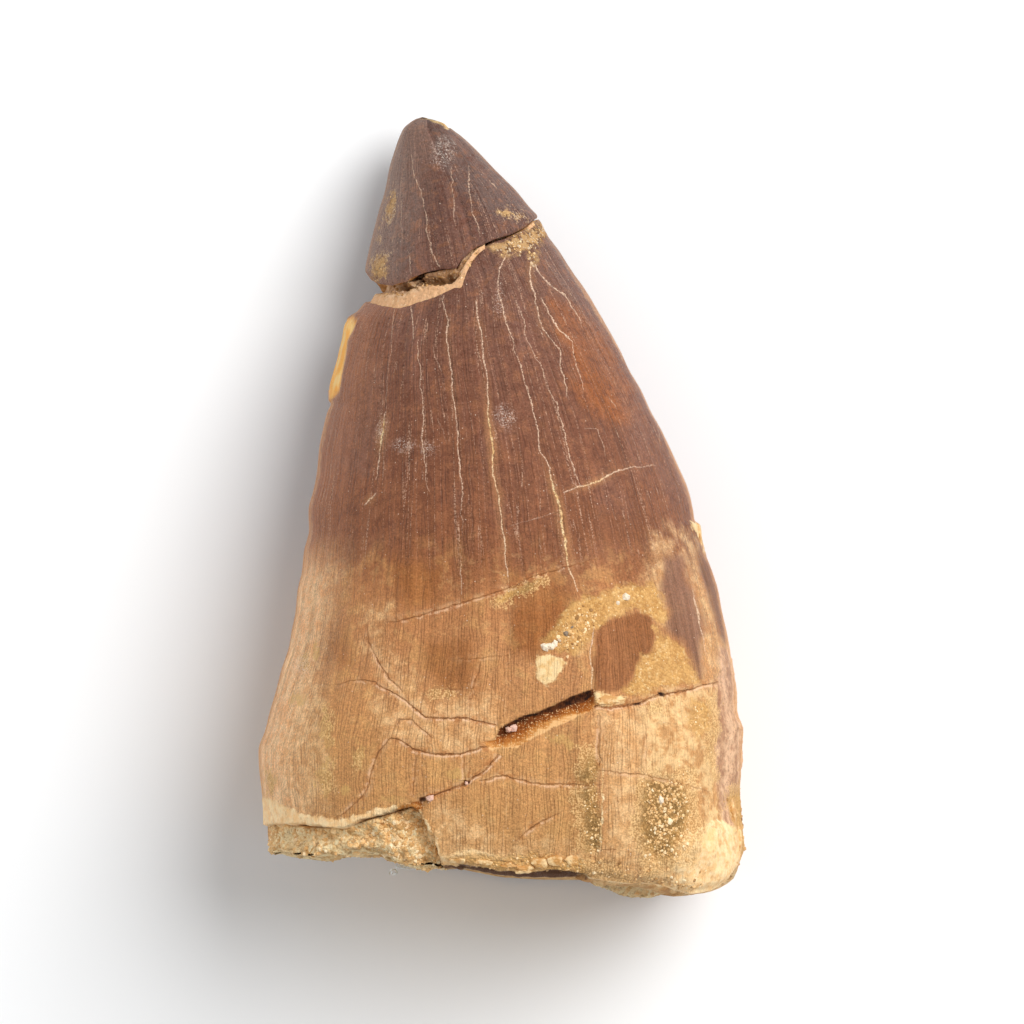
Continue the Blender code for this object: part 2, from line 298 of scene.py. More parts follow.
PALE_2 = [
    ((451, 166, .6), (454, 180, .8), (451, 185, .7), (455, 203, .8), (454, 223, .5)),
    ((489, 181, .7), (494, 186, .8), (499, 191, .5)),
    ((401, 176, .4), (401, 210, .6), (404, 243, .4)),
    ((408, 249, .6), (410, 262, .8), (410, 276, .5)),
    ((416, 339, .8), (417, 354, 1.0), (420, 367, .9), (422, 395, .8), (424, 423, 1.0), (422, 438, 1.2), (425, 469, .8), (428, 492, .5)),
    ((476, 300, 1.0), (480, 326, 1.3), (483, 351, 1.2), (486, 374, 1.2), (487, 402, 1.4), (489, 430, 2.1), (492, 448, 2.0), (494, 474, 1.6),
     (498, 497, 1.6), (501, 522, 1.5), (505, 548, 1.5), (509, 578, 1.2)),
    ((517, 300, .7), (522, 313, .8), (527, 339, .7), (540, 364, .8), (546, 385, .7), (556, 402, .8), (563, 430, 1.0), (568, 453, .9),
     (575, 474, .9), (581, 487, .6)),
    ((542, 295, .8), (551, 313, 1.1), (560, 331, 1.3), (573, 341, 1.0), (572, 354, .8), (578, 374, .9), (582, 392, .6)),
    ((563, 494, 1.0), (581, 487, 1.6), (596, 481, 1.8), (611, 474, 1.4), (629, 466, 1.1), (657, 465, .6)),
    ((510, 527, .4), (530, 520, .6), (555, 512, .4)),
    ((377, 494, 1.1), (371, 500, 1.6), (364, 507, 1.0)),
    ((396, 300, .5), (391, 340, .6), (386, 380, .5), (384, 410, .4)),
    ((436, 419, .4), (444, 430, .5), (446, 446, .3)),
    ((603, 770, 2.2), (603, 800, 2.6), (602, 830, 2.4), (600, 852, 1.8)),
    ((645, 380, .5), (655, 420, .6), (662, 455, .4)),
    ((593, 626, 1.0), (591, 655, 1.5), (593, 690, 1.7)),
]
DARK_1 = [  # fine brown cracks and the open ones, every second one
    ((387, 622, .7), (412, 618, .9), (433, 612, .9), (453, 606, .9), (473, 600, .9), (494, 592, .8), (517, 584, .8), (530, 578, .7), (545, 573, .8),
     (570, 566, .7), (606, 558, .4)),
    ((300, 683, .4), (330, 684, .5), (360, 680, .8), (374, 682, .9), (385, 689, 1.1), (395, 694, 1.0), (404, 699, 1.3), (416, 710, 1.3), (426, 717, 1.4), (447, 717, 1.3), (474, 720, 1.4),
     (495, 724, 1.8)),
    ((390, 737, .9), (398, 739, 1.0), (412, 748, 1.1), (433, 753, 1.3), (447, 755, 1.5), (462, 755, 1.7), (481, 749, 1.5), (490, 747, 1.4)),
    ((478, 782, .8), (488, 779, .9), (501, 775, 1.0), (522, 780, .9), (550, 784, .9), (584, 785, .8), (605, 784, .6)),
    ((595, 706, 2.4), (612, 708, 2.6), (629, 705, 2.4), (646, 700, 2.0), (662, 695, 2.6), (672, 692, 1.8), (681, 691, 1.8), (698, 687, 1.2), (719, 682, .8)),
    ((515, 842, .5), (529, 829, .9), (543, 820, .9), (564, 811, .5)),
    ((596, 851, .6), (617, 850, .7)),
    ((447, 660, .5), (478, 658, .7), (509, 656, .5)),
    ((417, 756, .6), (415, 780, .8), (414, 797, .7)),
    ((568, 499, .3), (610, 520, .5), (662, 535, .3)),
]
DARK_2 = [
    ((367, 622, .5), (369, 643, .8), (378, 660, .9), (388, 677, .9), (402, 691, .8)),
    ((397, 725, .8), (400, 720, .9), (412, 720, .8), (419, 727, .9), (428, 734, .9), (435, 739, .6)),
    ((390, 737, .8), (378, 753, .9), (373, 767, .9), (367, 787, .9), (359, 801, .8), (347, 813, .8), (333, 818, .5)),
    ((465, 757, .7), (465, 780, .9)),
    ((481, 660, .5), (474, 684, .8), (469, 713, .6)),
    ((429, 687, .4), (455, 690, .6), (481, 693, .4)),
    ((421, 806, 3.2), (422, 801, 3.4), (428, 797, 2.2), (436, 795, 1.6), (447, 791, 1.7), (458, 787, 2.4), (467, 783, 3.2), (474, 778, 1.8), (483, 771, 1.6),
     (493, 761, 1.3), (499, 755, 1.0)),
    ((600, 772, .6), (619, 772, .8), (636, 775, .8), (650, 777, .8), (667, 780, .8), (688, 785, .7), (712, 790, .5)),
    ((600, 716, .7), (600, 740, .9), (600, 767, .8)),
    ((646, 722, .5), (648, 750, .8), (648, 776, .6)),
    ((330, 640, .3), (322, 690, .5), (318, 730, .3)),
    ((540, 640, .3), (536, 680, .5), (545, 705, .3)),
]

SAND = [
    ((386, 202), (393, 195), (392, 211), (387, 214)),
    ((375, 268), (380, 256), (385, 262), (383, 278), (376, 280)),
    ((501, 210), (508, 209), (514, 214), (506, 216)),
    ((485, 247), (500, 240), (527, 229), (543, 220), (545, 231), (540, 242), (533, 249), (536, 262), (533, 270), (529, 262), (524, 254),
     (512, 253), (506, 259), (500, 253), (493, 250)),
    ((500, 600), (508, 590), (524, 583), (535, 581), (528, 590), (512, 600), (504, 605)),
    ((566, 608), (585, 593), (613, 589), (636, 585), (652, 584), (662, 594), (666, 612), (664, 626), (650, 624), (636, 609),
     (607, 619), (593, 629), (572, 654), (550, 651), (543, 640), (556, 620)),
    ((650, 624), (664, 638), (680, 649), (693, 672), (698, 681), (658, 688), (645, 697), (629, 694), (623, 691), (634, 672), (639, 656), (649, 649),
     (652, 636)),
    ((646, 782), (684, 778), (692, 800), (686, 830), (674, 858), (648, 862), (643, 830)),
    ((586, 758), (597, 760), (600, 800), (598, 848), (587, 852), (584, 800)),
    ((733, 795), (754, 788), (754, 830), (746, 870), (737, 873), (733, 840)),
    ((690, 700), (706, 698), (712, 720), (700, 738), (688, 724)),
    ((452, 858), (500, 858), (545, 852), (586, 856), (588, 876), (540, 870), (500, 872), (470, 866)),
]
CREAM = [
    ((536, 656), (552, 655), (566, 662), (560, 676), (548, 688), (537, 680), (535, 668)),
    ((692, 520), (702, 521), (708, 552), (701, 554), (695, 540)),
    ((416, 114), (428, 113), (452, 125), (447, 128.5), (431, 121.5), (417, 120.5)),
    ((255, 797), (276, 800), (289, 808), (303, 815), (321, 819), (345, 818), (371, 813), (394, 807), (398, 814), (371, 823), (343, 831), (316, 833),
     (292, 831), (273, 828), (255, 826)),
    ((592, 692), (610, 695), (626, 692), (628, 701), (611, 705), (594, 704)),
    ((672, 852), (688, 832), (712, 820), (735, 828), (742, 858), (728, 888), (695, 900), (674, 892)),
    ((612, 592), (632, 588), (640, 600), (628, 607), (614, 604)),
    ((440, 852), (480, 853), (500, 857), (540, 855), (588, 858), (588, 870), (540, 870), (500, 872), (468, 868), (440, 866)),
    ((412, 808), (424, 809), (432, 826), (442, 853), (436, 856), (426, 832)),
]
POROUS = [
    ((646, 704), (662, 692), (700, 688), (722, 682), (746, 700), (756, 750), (756, 800), (748, 860), (735, 890), (700, 900), (640, 890), (651, 840),
     (649, 780), (646, 730)),
]
PURPLE = [
    ((664, 558), (684, 558), (692, 598), (700, 636), (702, 656), (697, 677), (692, 662), (682, 643), (669, 635), (664, 624), (670, 614), (662, 592)),
    ((696, 548), (708, 554), (719, 590), (730, 636), (722, 642), (714, 622), (705, 584)),
    ((594, 629), (605, 620), (636, 614), (647, 619), (651, 634), (648, 648), (639, 654), (634, 672), (623, 688), (607, 694), (595, 690), (592, 656)),
]
# golden strip at the left edge; its bright colour in the shader is a painted glow of light shining through the thin
# enamel
ORANGE = [((345, 308), (357, 317), (353, 328), (347, 341), (345, 358), (341, 375), (338, 390), (336, 402), (318, 406), (316, 380), (322, 345), (330, 312))]
NOTCH = [((225, 829), (273, 824), (292, 828), (316, 830), (343, 828), (371, 821), (395, 815), (412, 809), (421, 811), (430, 832), (438, 853),
          (441, 885), (225, 885))]
OPEN = [((496, 738), (499, 727), (515, 720), (540, 711), (564, 701), (584, 693), (595, 690), (596, 700), (592, 711), (571, 719), (552, 727),
         (535, 737), (517, 748), (496, 749)),
        ((392, 812), (403, 805), (420, 802), (426, 808), (412, 815), (396, 819)), ((484, 744), (500, 738), (503, 746), (492, 752))]
# painted shade: near-black patches where the open crack's slit, small pits and the hollow under the foot lie in shadow
HOLE_SHADE_POLYS = [((503, 724.5), (515, 719.5), (530, 714), (545, 708), (560, 702.5), (572, 697), (584, 692), (593, 691), (593, 697), (584, 701), (572, 705), (560, 708),
          (545, 712), (530, 717), (515, 723), (505, 728)),
         ((419, 798), (427, 797), (428, 801), (421, 803)), ((464, 780), (470, 780), (470, 784), (465, 785)),
         ((658, 693.5), (665, 692), (665, 695.5), (659, 697)), ((633, 703), (642, 700.5), (642, 702.5), (634, 705)),
         ((458, 866), (484, 868), (500, 872), (530, 873), (552, 870), (575, 873), (588, 878), (590, 892), (500, 892), (460, 886))]
RED = [((548, 300), (575, 300), (600, 335), (628, 390), (640, 430), (600, 420), (575, 390), (560, 350)),
       ((512, 612), (560, 600), (575, 612), (545, 640), (535, 660), (512, 650))]
OLIVE = [(301, 699, 7, 9), (326, 732, 8, 17), (326, 773, 8, 18), (357, 756, 6, 12), (270, 780, 6, 10), (345, 790, 5, 8), (560, 742, 12, 5), (455, 778, 9, 6),
         (316, 652, 5, 9), (392, 800, 10, 5)]
WHITE = [(444, 153, 12, 18), (504, 418, 8, 12), (403, 446, 8, 7), (428, 448, 9, 7), (304, 666, 9, 11), (382, 428, 5, 12), (500, 300, 5, 14)]
WALL = [((716, 646), (729, 646), (739, 680), (752, 735), (756, 795), (735, 800), (736, 862), (720, 862), (722, 760), (716, 690))]

# wide, soft changes of tone, and at the end patches of painted sheen
LIGHT = [
    ((640, 602), (646, 575), (651, 550), (657, 538), (669, 545), (671, 575), (666, 600), (670, 628), (655, 622), (645, 610)),
    ((560, 642), (575, 618), (600, 600), (640, 590), (645, 605), (620, 612), (600, 618), (585, 632), (572, 652)),
    ((604, 712), (640, 704), (662, 694), (700, 688), (722, 684), (742, 700), (752, 740), (752, 800), (748, 860), (730, 895), (690, 900), (640, 888),
     (600, 880), (604, 800)),
    ((700, 638), (716, 636), (732, 640), (742, 690), (722, 684), (704, 688), (702, 660)),
    ((672, 528), (686, 532), (698, 558), (706, 585), (713, 620), (720, 640), (708, 645), (700, 620), (694, 595), (688, 565), (680, 548)),
    ((380, 700), (430, 722), (440, 750), (400, 742), (376, 720)),
    ((268, 640), (300, 630), (318, 690), (285, 700), (262, 690)), ((440, 800), (500, 840), (436, 850)),
    ((250, 770), (258, 700), (285, 670), (320, 700), (330, 760), (322, 815), (255, 815)),
    ((366, 612), (392, 608), (394, 616), (380, 625), (368, 622)),
    ((366, 642), (380, 634), (398, 668), (420, 700), (440, 712), (430, 722), (404, 706), (384, 684)),
    ((440, 702), (497, 698), (497, 724), (440, 724)),
    ((420, 726), (495, 728), (470, 750), (430, 748)),
    ((436, 848), (480, 848), (540, 846), (600, 848), (600, 870), (540, 872), (480, 864), (440, 862)),
]
BROWN = [
    ((518, 575), (545, 578), (565, 590), (560, 612), (548, 640), (536, 652), (524, 640), (514, 610)),
    ((425, 640), (470, 636), (478, 690), (440, 690), (424, 668)),
    ((318, 620), (342, 630), (350, 660), (320, 664), (310, 640)),
    ((396, 560), (440, 570), (436, 606), (400, 602)),
    ((568, 497), (610, 508), (664, 518), (664, 538), (610, 546), (572, 543)),
    ((644, 790), (658, 778), (678, 780), (687, 798), (682, 834), (668, 858), (650, 854), (642, 830)),
    ((578, 760), (596, 764), (597, 850), (584, 846)),
]
DUST = [
    ((380, 225), (383, 205), (390, 189), (398, 190), (396, 210), (390, 226)), ((372, 281), (370, 262), (380, 250), (388, 250), (386, 268), (384, 281)),
    ((374, 241), (377, 227), (382, 228), (380, 244)), ((495, 205), (510, 207), (524, 214), (531, 222), (518, 222), (502, 217)),
    ((491, 605), (500, 590), (520, 579), (547, 574), (550, 586), (524, 597), (507, 609), (494, 610)),
    ((326, 758), (321, 775), (317, 791), (334, 796), (337, 775), (334, 760)), ((352, 747), (360, 749), (362, 770), (353, 771)),
    ((321, 704), (335, 714), (335, 746), (322, 741)), ((300, 654), (312, 648), (315, 670), (302, 673)), ((262, 770), (272, 768), (276, 800), (264, 800)),
    ((574, 745), (598, 742), (600, 860), (576, 850), (568, 800)), ((636, 768), (700, 762), (708, 822), (692, 868), (640, 882), (626, 830)),
    ((427, 687), (455, 683), (461, 696), (430, 701)), ((702, 692), (722, 690), (730, 782), (716, 790), (704, 740)),
    ((440, 850), (600, 856), (640, 880), (700, 897), (640, 894), (590, 880), (520, 878), (450, 868)), ((733, 786), (754, 778), (754, 862), (738, 873)),
    ((640, 700), (668, 697), (664, 716), (644, 722)),
]
# painted sheen: greyer patches on the tip and upper left stand in for soft reflections
SHEEN_PATCHES = [((398, 150), (411, 146), (415, 200), (412, 284), (384, 284), (376, 255), (386, 205)), ((432, 128), (462, 142), (500, 182), (528, 212), (512, 222), (478, 206), (452, 186), (438, 160)), ((338, 330), (372, 312), (380, 400), (366, 470), (332, 470), (326, 420))]

# steps in the surface: line, height of the step on its right side, length over which it fades
STEPS = [
    (((591, 622), (591, 660), (592, 694)), -0.13, 30),
    (((600, 708), (600, 767), (598, 818), (596, 862)), 0.14, 26),
    (((646, 715), (648, 780), (650, 820)), -0.10, 22),
    (((713, 676), (717, 740), (719, 822)), -0.16, 18),
    (((696, 552), (712, 610), (724, 660)), -0.10, 12),
    (((360, 680), (404, 699), (426, 717), (495, 724)), 0.04, 30),
    (((390, 737), (412, 748), (447, 755), (490, 748)), 0.05, 30),
    (((425, 800), (447, 791), (467, 783), (499, 756)), 0.08, 26),
    (((595, 706), (646, 700), (681, 691), (719, 682)), 0.08, 30),
]


def step_field(px, py):
    out = np.zeros(px.shape)
    for line, rise, fade in STEPS:
        pts = [(x, y, 1.0) for x, y in line]
        d, w = line_field(px, py, [pts], reach=fade * 2.4)
        side = smooth(-d, -0.8, 0.8)
        # the side to the right of the drawn direction moves, and eases back with distance
        out += rise * side * np.exp(-np.abs(d) / fade) * (w > 0)
    return out


# =============================================================== shell grids
def arc_columns(count, power=2.2, weight=0.45):
    """Fractions across the crown spaced by a mix of width and arc length, and the arc length itself."""
    c = np.linspace(0, 1, 4001)
    z = (1 - np.abs(2 * c - 1) ** power) ** (1 / power) * 12.0
    x = c * 29.0
    w = np.concatenate(([0], np.cumsum(np.hypot(np.diff(x), weight * np.diff(z)))))
    arc = np.concatenate(([0], np.cumsum(np.hypot(np.diff(x), np.diff(z)))))
    cols = np.interp(np.linspace(0, w[-1], count + 1), w, c)
    return cols, np.interp(cols, c, arc)


def shell(foot_top, foot_bottom, nf, nb, rows, top_pad=0.0, bottom_pad=0.0, row_power=1.0, back_top=None, back_bottom=None):
    """Closed tube between two lines across the tooth. Returns a dict of (rows, columns) arrays."""
    top = lambda x: np.interp(x, foot_top[:, 0], foot_top[:, 1]) + top_pad
    bottom = lambda x: np.interp(x, foot_bottom[:, 0], foot_bottom[:, 1]) + bottom_pad
    cf, af = arc_columns(nf)
    cb, ab = arc_columns(nb)
    c = np.concatenate((cf, cb[::-1][1:-1]))
    # the arc length runs both ways from the left edge, so its two ends meet under the belly
    c_back, arc_back = cb[::-1][1:-1], ab[::-1][1:-1]
    arc = np.concatenate((af, np.where(c_back > 0.5, af[-1] + ab[-1] - arc_back, -arc_back)))
    back = np.concatenate((np.zeros(nf + 1), np.ones(nb - 1)))
    v = np.linspace(0, 1, rows + 1) ** row_power
    C, V = np.meshgrid(c, v)
    B = np.broadcast_to(back, C.shape)
    y = np.full(C.shape, 0.0) + V * 500 + 200
    inner = B * smooth(1 - np.abs(2 * C - 1), 0.01, 0.16)

    def ends(x):
        a, b = top(x), bottom(x)
        if back_top is not None:
            a = a * (1 - inner) + (np.interp(x, BACK_BREAK[:, 0], BACK_BREAK[:, 1]) + back_top) * inner
        if back_bottom is not None:
            b = b * (1 - inner) + (np.interp(x, BACK_BREAK[:, 0], BACK_BREAK[:, 1]) + back_bottom) * inner
        return a, b

    for _ in range(36):
        x = columns_at(y, C)
        a, b = ends(x)
        y = 0.5 * y + 0.5 * (a * (1 - V) + b * V)
    x = columns_at(y, C)
    ymm = (505.5 - y) * S
    crest, belly, keel, pf, pb = (f(ymm) for f in section)
    e = np.abs(2 * C - 1)
    zf = keel + (crest - keel) * (1 - e ** pf) ** (1 / pf)
    zb = keel - (keel - belly) * (1 - e ** pb) ** (1 / pb)
    z = np.where(B > 0.5, zb, zf)
    X, Y = place(x, y, z)
    return {"px": x, "py": y, "c": C, "back": B, "x": X, "y": Y, "z": z, "keel": keel, "arc": np.broadcast_to(arc, C.shape), "shape": C.shape, "nf": nf}


def normals(P):
    """Outward normals of a tube grid (rows, columns, 3)."""
    across = np.roll(P, -1, axis=1) - np.roll(P, 1, axis=1)
    along = np.gradient(P, axis=0)
    n = np.cross(across, along)
    n /= np.maximum(np.linalg.norm(n, axis=2, keepdims=True), 1e-9)
    middle = P.mean(axis=1, keepdims=True)
    flip = np.sign(((P - middle) * n).sum())
    return n * flip


def grid_faces(rows, cols, start=0, wrap=True):
    r = np.arange(rows)[:, None]
    c = np.arange(cols if wrap else cols - 1)[None, :]
    n = (c + 1) % cols
    quads = np.stack((r * cols + c, (r + 1) * cols + c, (r + 1) * cols + n, r * cols + n), axis=2).reshape(-1, 4)
    return quads + start


def make_mesh(name, verts, quads, tris=None, attrs=None, smooth_shade=True):
    mesh = bpy.data.meshes.new(name)
    loops = [quads.reshape(-1)] if len(quads) else []
    sizes = [np.full(len(quads), 4)] if len(quads) else []
    if tris is not None and len(tris):
        loops.append(tris.reshape(-1))
        sizes.append(np.full(len(tris), 3))
    loops, sizes = np.concatenate(loops), np.concatenate(sizes)
    starts = np.concatenate(([0], np.cumsum(sizes)[:-1]))
    mesh.vertices.add(len(verts))
    mesh.vertices.foreach_set("co", (np.asarray(verts) * MM).astype(np.float32).reshape(-1))
    mesh.loops.add(len(loops))
    mesh.loops.foreach_set("vertex_index", loops.astype(np.int32))
    mesh.polygons.add(len(sizes))
    mesh.polygons.foreach_set("loop_start", starts.astype(np.int32))
    mesh.polygons.foreach_set("loop_total", sizes.astype(np.int32))
    mesh.polygons.foreach_set("use_smooth", np.full(len(sizes), smooth_shade))
    mesh.update(calc_edges=True)
    mesh.validate()
    for key, value in (attrs or {}).items():
        value = np.asarray(value, np.float32)
        if value.ndim == 1:
            a = mesh.attributes.new(key, "FLOAT", "POINT")
            a.data.foreach_set("value", value)
        else:
            a = mesh.attributes.new(key, "FLOAT_VECTOR", "POINT")
            a.data.foreach_set("vector", value.reshape(-1))
    ob = bpy.data.objects.new(name, mesh)
    bpy.context.scene.collection.objects.link(ob)
    return ob


def mirrored(lines, middle=500.0, drop=37.0):
    """The same kind of cracks for the hidden back, in other places."""
    out = []
    for line in lines:
        out.append([(2 * middle - p[0] + 9 * math.sin(p[1] / 47.0), p[1] + drop, p[2] * 0.9) for p in line])
    return out


BACK_SAND = [((300, 700), (350, 690), (380, 720), (360, 770), (310, 790), (290, 750)), ((520, 800), (640, 790), (690, 830), (660, 870), (520, 872)),
             ((430, 560), (480, 550), (500, 590), (450, 610)), ((590, 640), (640, 650), (650, 700), (600, 710))]
BACK_CREAM = [((380, 820), (440, 812), (450, 860), (380, 862)), ((620, 560), (650, 570), (640, 610), (612, 600))]
BACK_PURPLE = [((400, 640), (450, 632), (470, 680), (430, 700), (398, 690))]


def feature_attributes(g):
    """Masks and crack fields of a shell as flat arrays, and the fields themselves for the relief."""
    px, py = g["px"].reshape(-1), g["py"].reshape(-1)
    z, keel = g["z"].reshape(-1), g["keel"].reshape(-1)
    front = smooth(z, keel - 3.4, keel - 1.0)
    back = 1 - front
    edge_l, edge_r = px - left_edge(py), right_edge(py) - px
    k3 = np.stack((px, py, np.zeros(len(px))), axis=1)
    lx = px + 2.2 * noise(k3, 1 / 16.0, 201, 2, 0.6)
    ly = py + 2.2 * noise(k3, 1 / 16.0, 203, 2, 0.6)
    px = px + 7.0 * noise(k3, 1 / 26.0, 205, 3, 0.6)
    py = py + 7.0 * noise(k3, 1 / 26.0, 207, 3, 0.6)

    def both(front_field, back_field=None):
        b = back_field if back_field is not None else -REACH
        return front_field * front + b * back

    f = {}
    f["sand"] = both(union_field(px, py, SAND), union_field(px, py, BACK_SAND))
    f["cream"] = both(union_field(px, py, CREAM), union_field(px, py, BACK_CREAM))
    f["porous"] = both(union_field(px, py, POROUS), union_field(px, py, [POROUS[0][:6] + ((752, 800), (700, 890), (690, 760))]))
    f["purple"] = both(union_field(px, py, PURPLE), union_field(px, py, BACK_PURPLE))
    tall = 1.45 * np.clip(1 - ((g["py"].reshape(-1) - 356) / 47.0) ** 2, 0, 1) * (1 + 0.30 * noise(k3, 1 / 26.0, 209, 2, 0.5))
    near_keel = smooth(z, keel - tall - 0.5, keel - tall + 0.3)
    ox = k3[:, 0] + 0.7 * noise(k3, 1 / 20.0, 211, 2, 0.5)
    f["orange"] = union_field(ox, k3[:, 1], ORANGE) * near_keel - REACH * (1 - near_keel)
    f["orange"] = np.minimum(f["orange"], 7.0 * (1 - ((k3[:, 1] - 357) / 45.0) ** 2) - 1.6 * np.maximum(z - keel - 1.2, 0))
    low_edge = smooth(z, 7.2, 8.0)
    f["notch"] = union_field(px, py, NOTCH) * low_edge - REACH * (1 - low_edge)
    f["open"] = both(union_field(lx, ly, OPEN))
    f["red"] = both(union_field(px, py, RED))
    f["hole"] = both(union_field(lx, ly, HOLE_SHADE_POLYS))
    f["olive"] = both(spots_field(px, py, OLIVE), spots_field(px, py, [(2 * 500 - x, y + 20, a, b) for x, y, a, b in OLIVE]))
    f["white"] = both(spots_field(px, py, WHITE))
    f["wall"] = both(union_field(px, py, WALL))
    far = -34.0
    for key, polys in (("light", LIGHT), ("brown", BROWN), ("dust", DUST), ("grey", SHEEN_PATCHES)):
        wide_f = union_field(px, py, polys, 34.0)
        turned = union_field(2 * 505.0 - px, py - 40.0, polys, 34.0)
        f[key] = wide_f * front + np.maximum(turned, far) * back
    for key, lines, other in (("p1", PALE_1, PALE_2), ("p2", PALE_2, PALE_1), ("d1", DARK_1, DARK_2), ("d2", DARK_2, DARK_1)):
        d, w = line_field(lx, ly, lines)
        db, wb = line_field(lx, ly, mirrored(other))
        isfront = front > 0.5
        f[key] = np.where(isfront, d, db)
        f[key + "w"] = np.where(isfront, w, wb) * smooth(np.abs(front - 0.5), 0.0, 0.5)
    upper_lip = np.interp(px, (497, 515, 540, 564, 595), (728, 720, 711, 701, 690))
    lower_lip = np.interp(px, (497, 517, 535, 571, 592), (749, 748, 737, 719, 711))
    f["across"] = np.clip((py - upper_lip) / np.maximum(lower_lip - upper_lip, 4.0), -0.5, 1.5)
    f["across"] = np.where(py > 770, 0.66 + 0.03 * (py - 808), f["across"])
    f["front"] = front
    f["rim"] = np.where(edge_l < edge_r, edge_l, -edge_r) * front + 60.0 * back
    return f


def pack_attributes(g, f, extra=0):
    def vec(a, b, c):
        v = np.stack((a, b, c), axis=1)
        return v
    arc = g["arc"].reshape(-1)
    return {
        "fan": vec(arc, g["py"].reshape(-1) * S, (g["py"].reshape(-1) - 118) / 776.0),
        "flat": vec(g["px"].reshape(-1) * S, g["py"].reshape(-1) * S, g["z"].reshape(-1)),
        "mask_a": vec(f["sand"], f["cream"], f["porous"]),
        "mask_b": vec(f["purple"], f["orange"], f["open"]),
        "mask_c": vec(f["notch"], f["olive"], f["white"]),
        "mask_d": vec(f["red"], f["wall"], f["hole"]),
        "pale_d": vec(f["p1"], f["p2"], f["p1w"]),
        "dark_d": vec(f["d1"], f["d2"], f["d1w"]),
        "line_w": vec(f["p2w"], f["d2w"], f["rim"]),
        "zone_a": vec(f["light"], f["brown"], f["dust"]),
        "zone_b": vec(f["grey"], f["across"], f["front"]),
    }


def crack_relief(f, key, depth):
    w = np.maximum(f[key + "w"], 1e-3)
    return -depth * f[key + "w"] ** 1.5 * np.exp(-(f[key] / (0.5 * w + 0.8)) ** 2)


# =============================================================== crown
print("crown")
g = shell(CROWN_HEAD, BASE_FOOT, 222, 56, 306, back_top=1.2)
P = np.stack((g["x"], g["y"], g["z"]), axis=2)
N = normals(P)
flat_p = P.reshape(-1, 3)
f = feature_attributes(g)
px, py = g["px"].reshape(-1), g["py"].reshape(-1)
c = g["c"].reshape(-1)
arc = g["arc"].reshape(-1)
q = np.stack((arc, py * S, flat_p[:, 2] * 0.2), axis=1)
qs = np.stack((arc * 1.0, py * S * 0.12, np.zeros(len(arc))), axis=1)

relief = 0.16 * noise(q, 0.16, 3, 2)
relief += 0.035 * noise(q, 0.55, 5, 3)
# long shallow flutes that run with the crown
relief += 0.055 * noise(qs, 0.33, 9, 2) * smooth(py, 330, 620)
relief += 0.016 * noise(qs, 1.6, 21, 2)
relief += step_field(px, py) * f["front"]
relief += crack_relief(f, "d1", 0.028) + crack_relief(f, "d2", 0.028)
relief += crack_relief(f, "p1", 0.008) + crack_relief(f, "p2", 0.008)
grit = noise(q, 3.2, 31, 3, 0.65)
edge = 1.6 * noise(q, 2.2, 33, 2)
sand_m = smooth(f["sand"] + 2.2 * edge, -4.0, 5.0)
relief += sand_m * (0.010 + 0.055 * grit)
relief += 0.03 * smooth(f["dust"] + 2.0 * edge, -2.0, 4.0) * grit
por = smooth(f["porous"] + 2 * edge, -2, 6)
relief += por * (0.05 * noise(q, 1.3, 41, 3, 0.6) - 0.05)
pits = np.maximum(noise(q, 2.4, 43, 2) - 0.25, 0)
relief -= por * 0.28 * pits
relief += smooth(f["cream"] + edge, -1, 1.5) * 0.05
relief -= smooth(f["orange"], -1.5, 1.0) * 0.10
# brown square of enamel stands a little proud of the sand round it, the dark bands lie under it
relief += 0.05 * smooth(f["purple"] + 0.5 * edge, -1.2, 1.2) * (c < 0.84)
knob = np.exp(-(((px - 705) / 34.0) ** 2 + ((py - 862) / 34.0) ** 2))
relief += knob * f["front"] * (0.42 + 0.34 * noise(q, 0.55, 55, 2) + 0.16 * noise(q, 1.8, 57, 4, 0.65))
relief -= 0.45 * np.exp(-(((px - 735) / 26.0) ** 2)) * smooth(py, 690, 760) * (1 - smooth(py, 800, 850)) * f["front"]
relief += smooth(f["wall"] + 2 * edge, -2, 5) * 0.16 * noise(q, 0.9, 59, 4, 0.65)
# wavy foot
foot = smooth(g["py"].reshape(-1) - np.interp(px, BASE_FOOT[:, 0], BASE_FOOT[:, 1]), -16, 0)
relief -= foot * foot * (0.42 + 0.30 * noise(q, 1.3, 51, 3)) * f["front"]
# dark hollow under the edge at the middle of the foot
hollow = union_field(px, py, [((458, 867), (484, 869), (500, 873), (530, 874), (552, 871), (575, 874), (588, 879), (590, 892), (500, 892), (460, 886))])
relief -= smooth(hollow + 0.6 * edge, -1.0, 1.5) * 0.45 * f["front"]
# open crack: steep lips, deepest along the upper lip
open_m = smooth(f["open"] + 0.5 * edge, -0.6, 1.6)
top_lip = smooth(np.interp(px, (498, 540, 594), (731, 714, 694)) + 13 - py, 0, 9)
relief -= open_m * (0.14 + 0.36 * top_lip * smooth(f["open"], 0.0, 3.0))
relief -= smooth(f["notch"] + 0.5 * edge, -1.2, 1.2) * (1.7 + 0.2 * grit)
# the rim of the break at the head of the crown rounds off a little
head_gap = py - np.interp(px, CROWN_HEAD[:, 0], CROWN_HEAD[:, 1])
relief -= 0.12 * np.exp(-np.maximum(head_gap, 0) / 2.2)

P = P + N * relief.reshape(g["shape"])[..., None]
# the worn strip at the left edge is a small ledge that faces up
ledge = (smooth(f["orange"], -2.5, 2.5) * (f["front"] > 0.5)).reshape(g["shape"])
P[..., 2] -= 0.32 * ledge * np.maximum(P[..., 2] - g["keel"] - 0.3, 0.0)
P[..., 2] = np.maximum(P[..., 2], 0.0)
crown_grid = {"g": g, "P": P, "N": normals(P), "relief": relief.reshape(g["shape"])}
rows, cols = g["shape"]


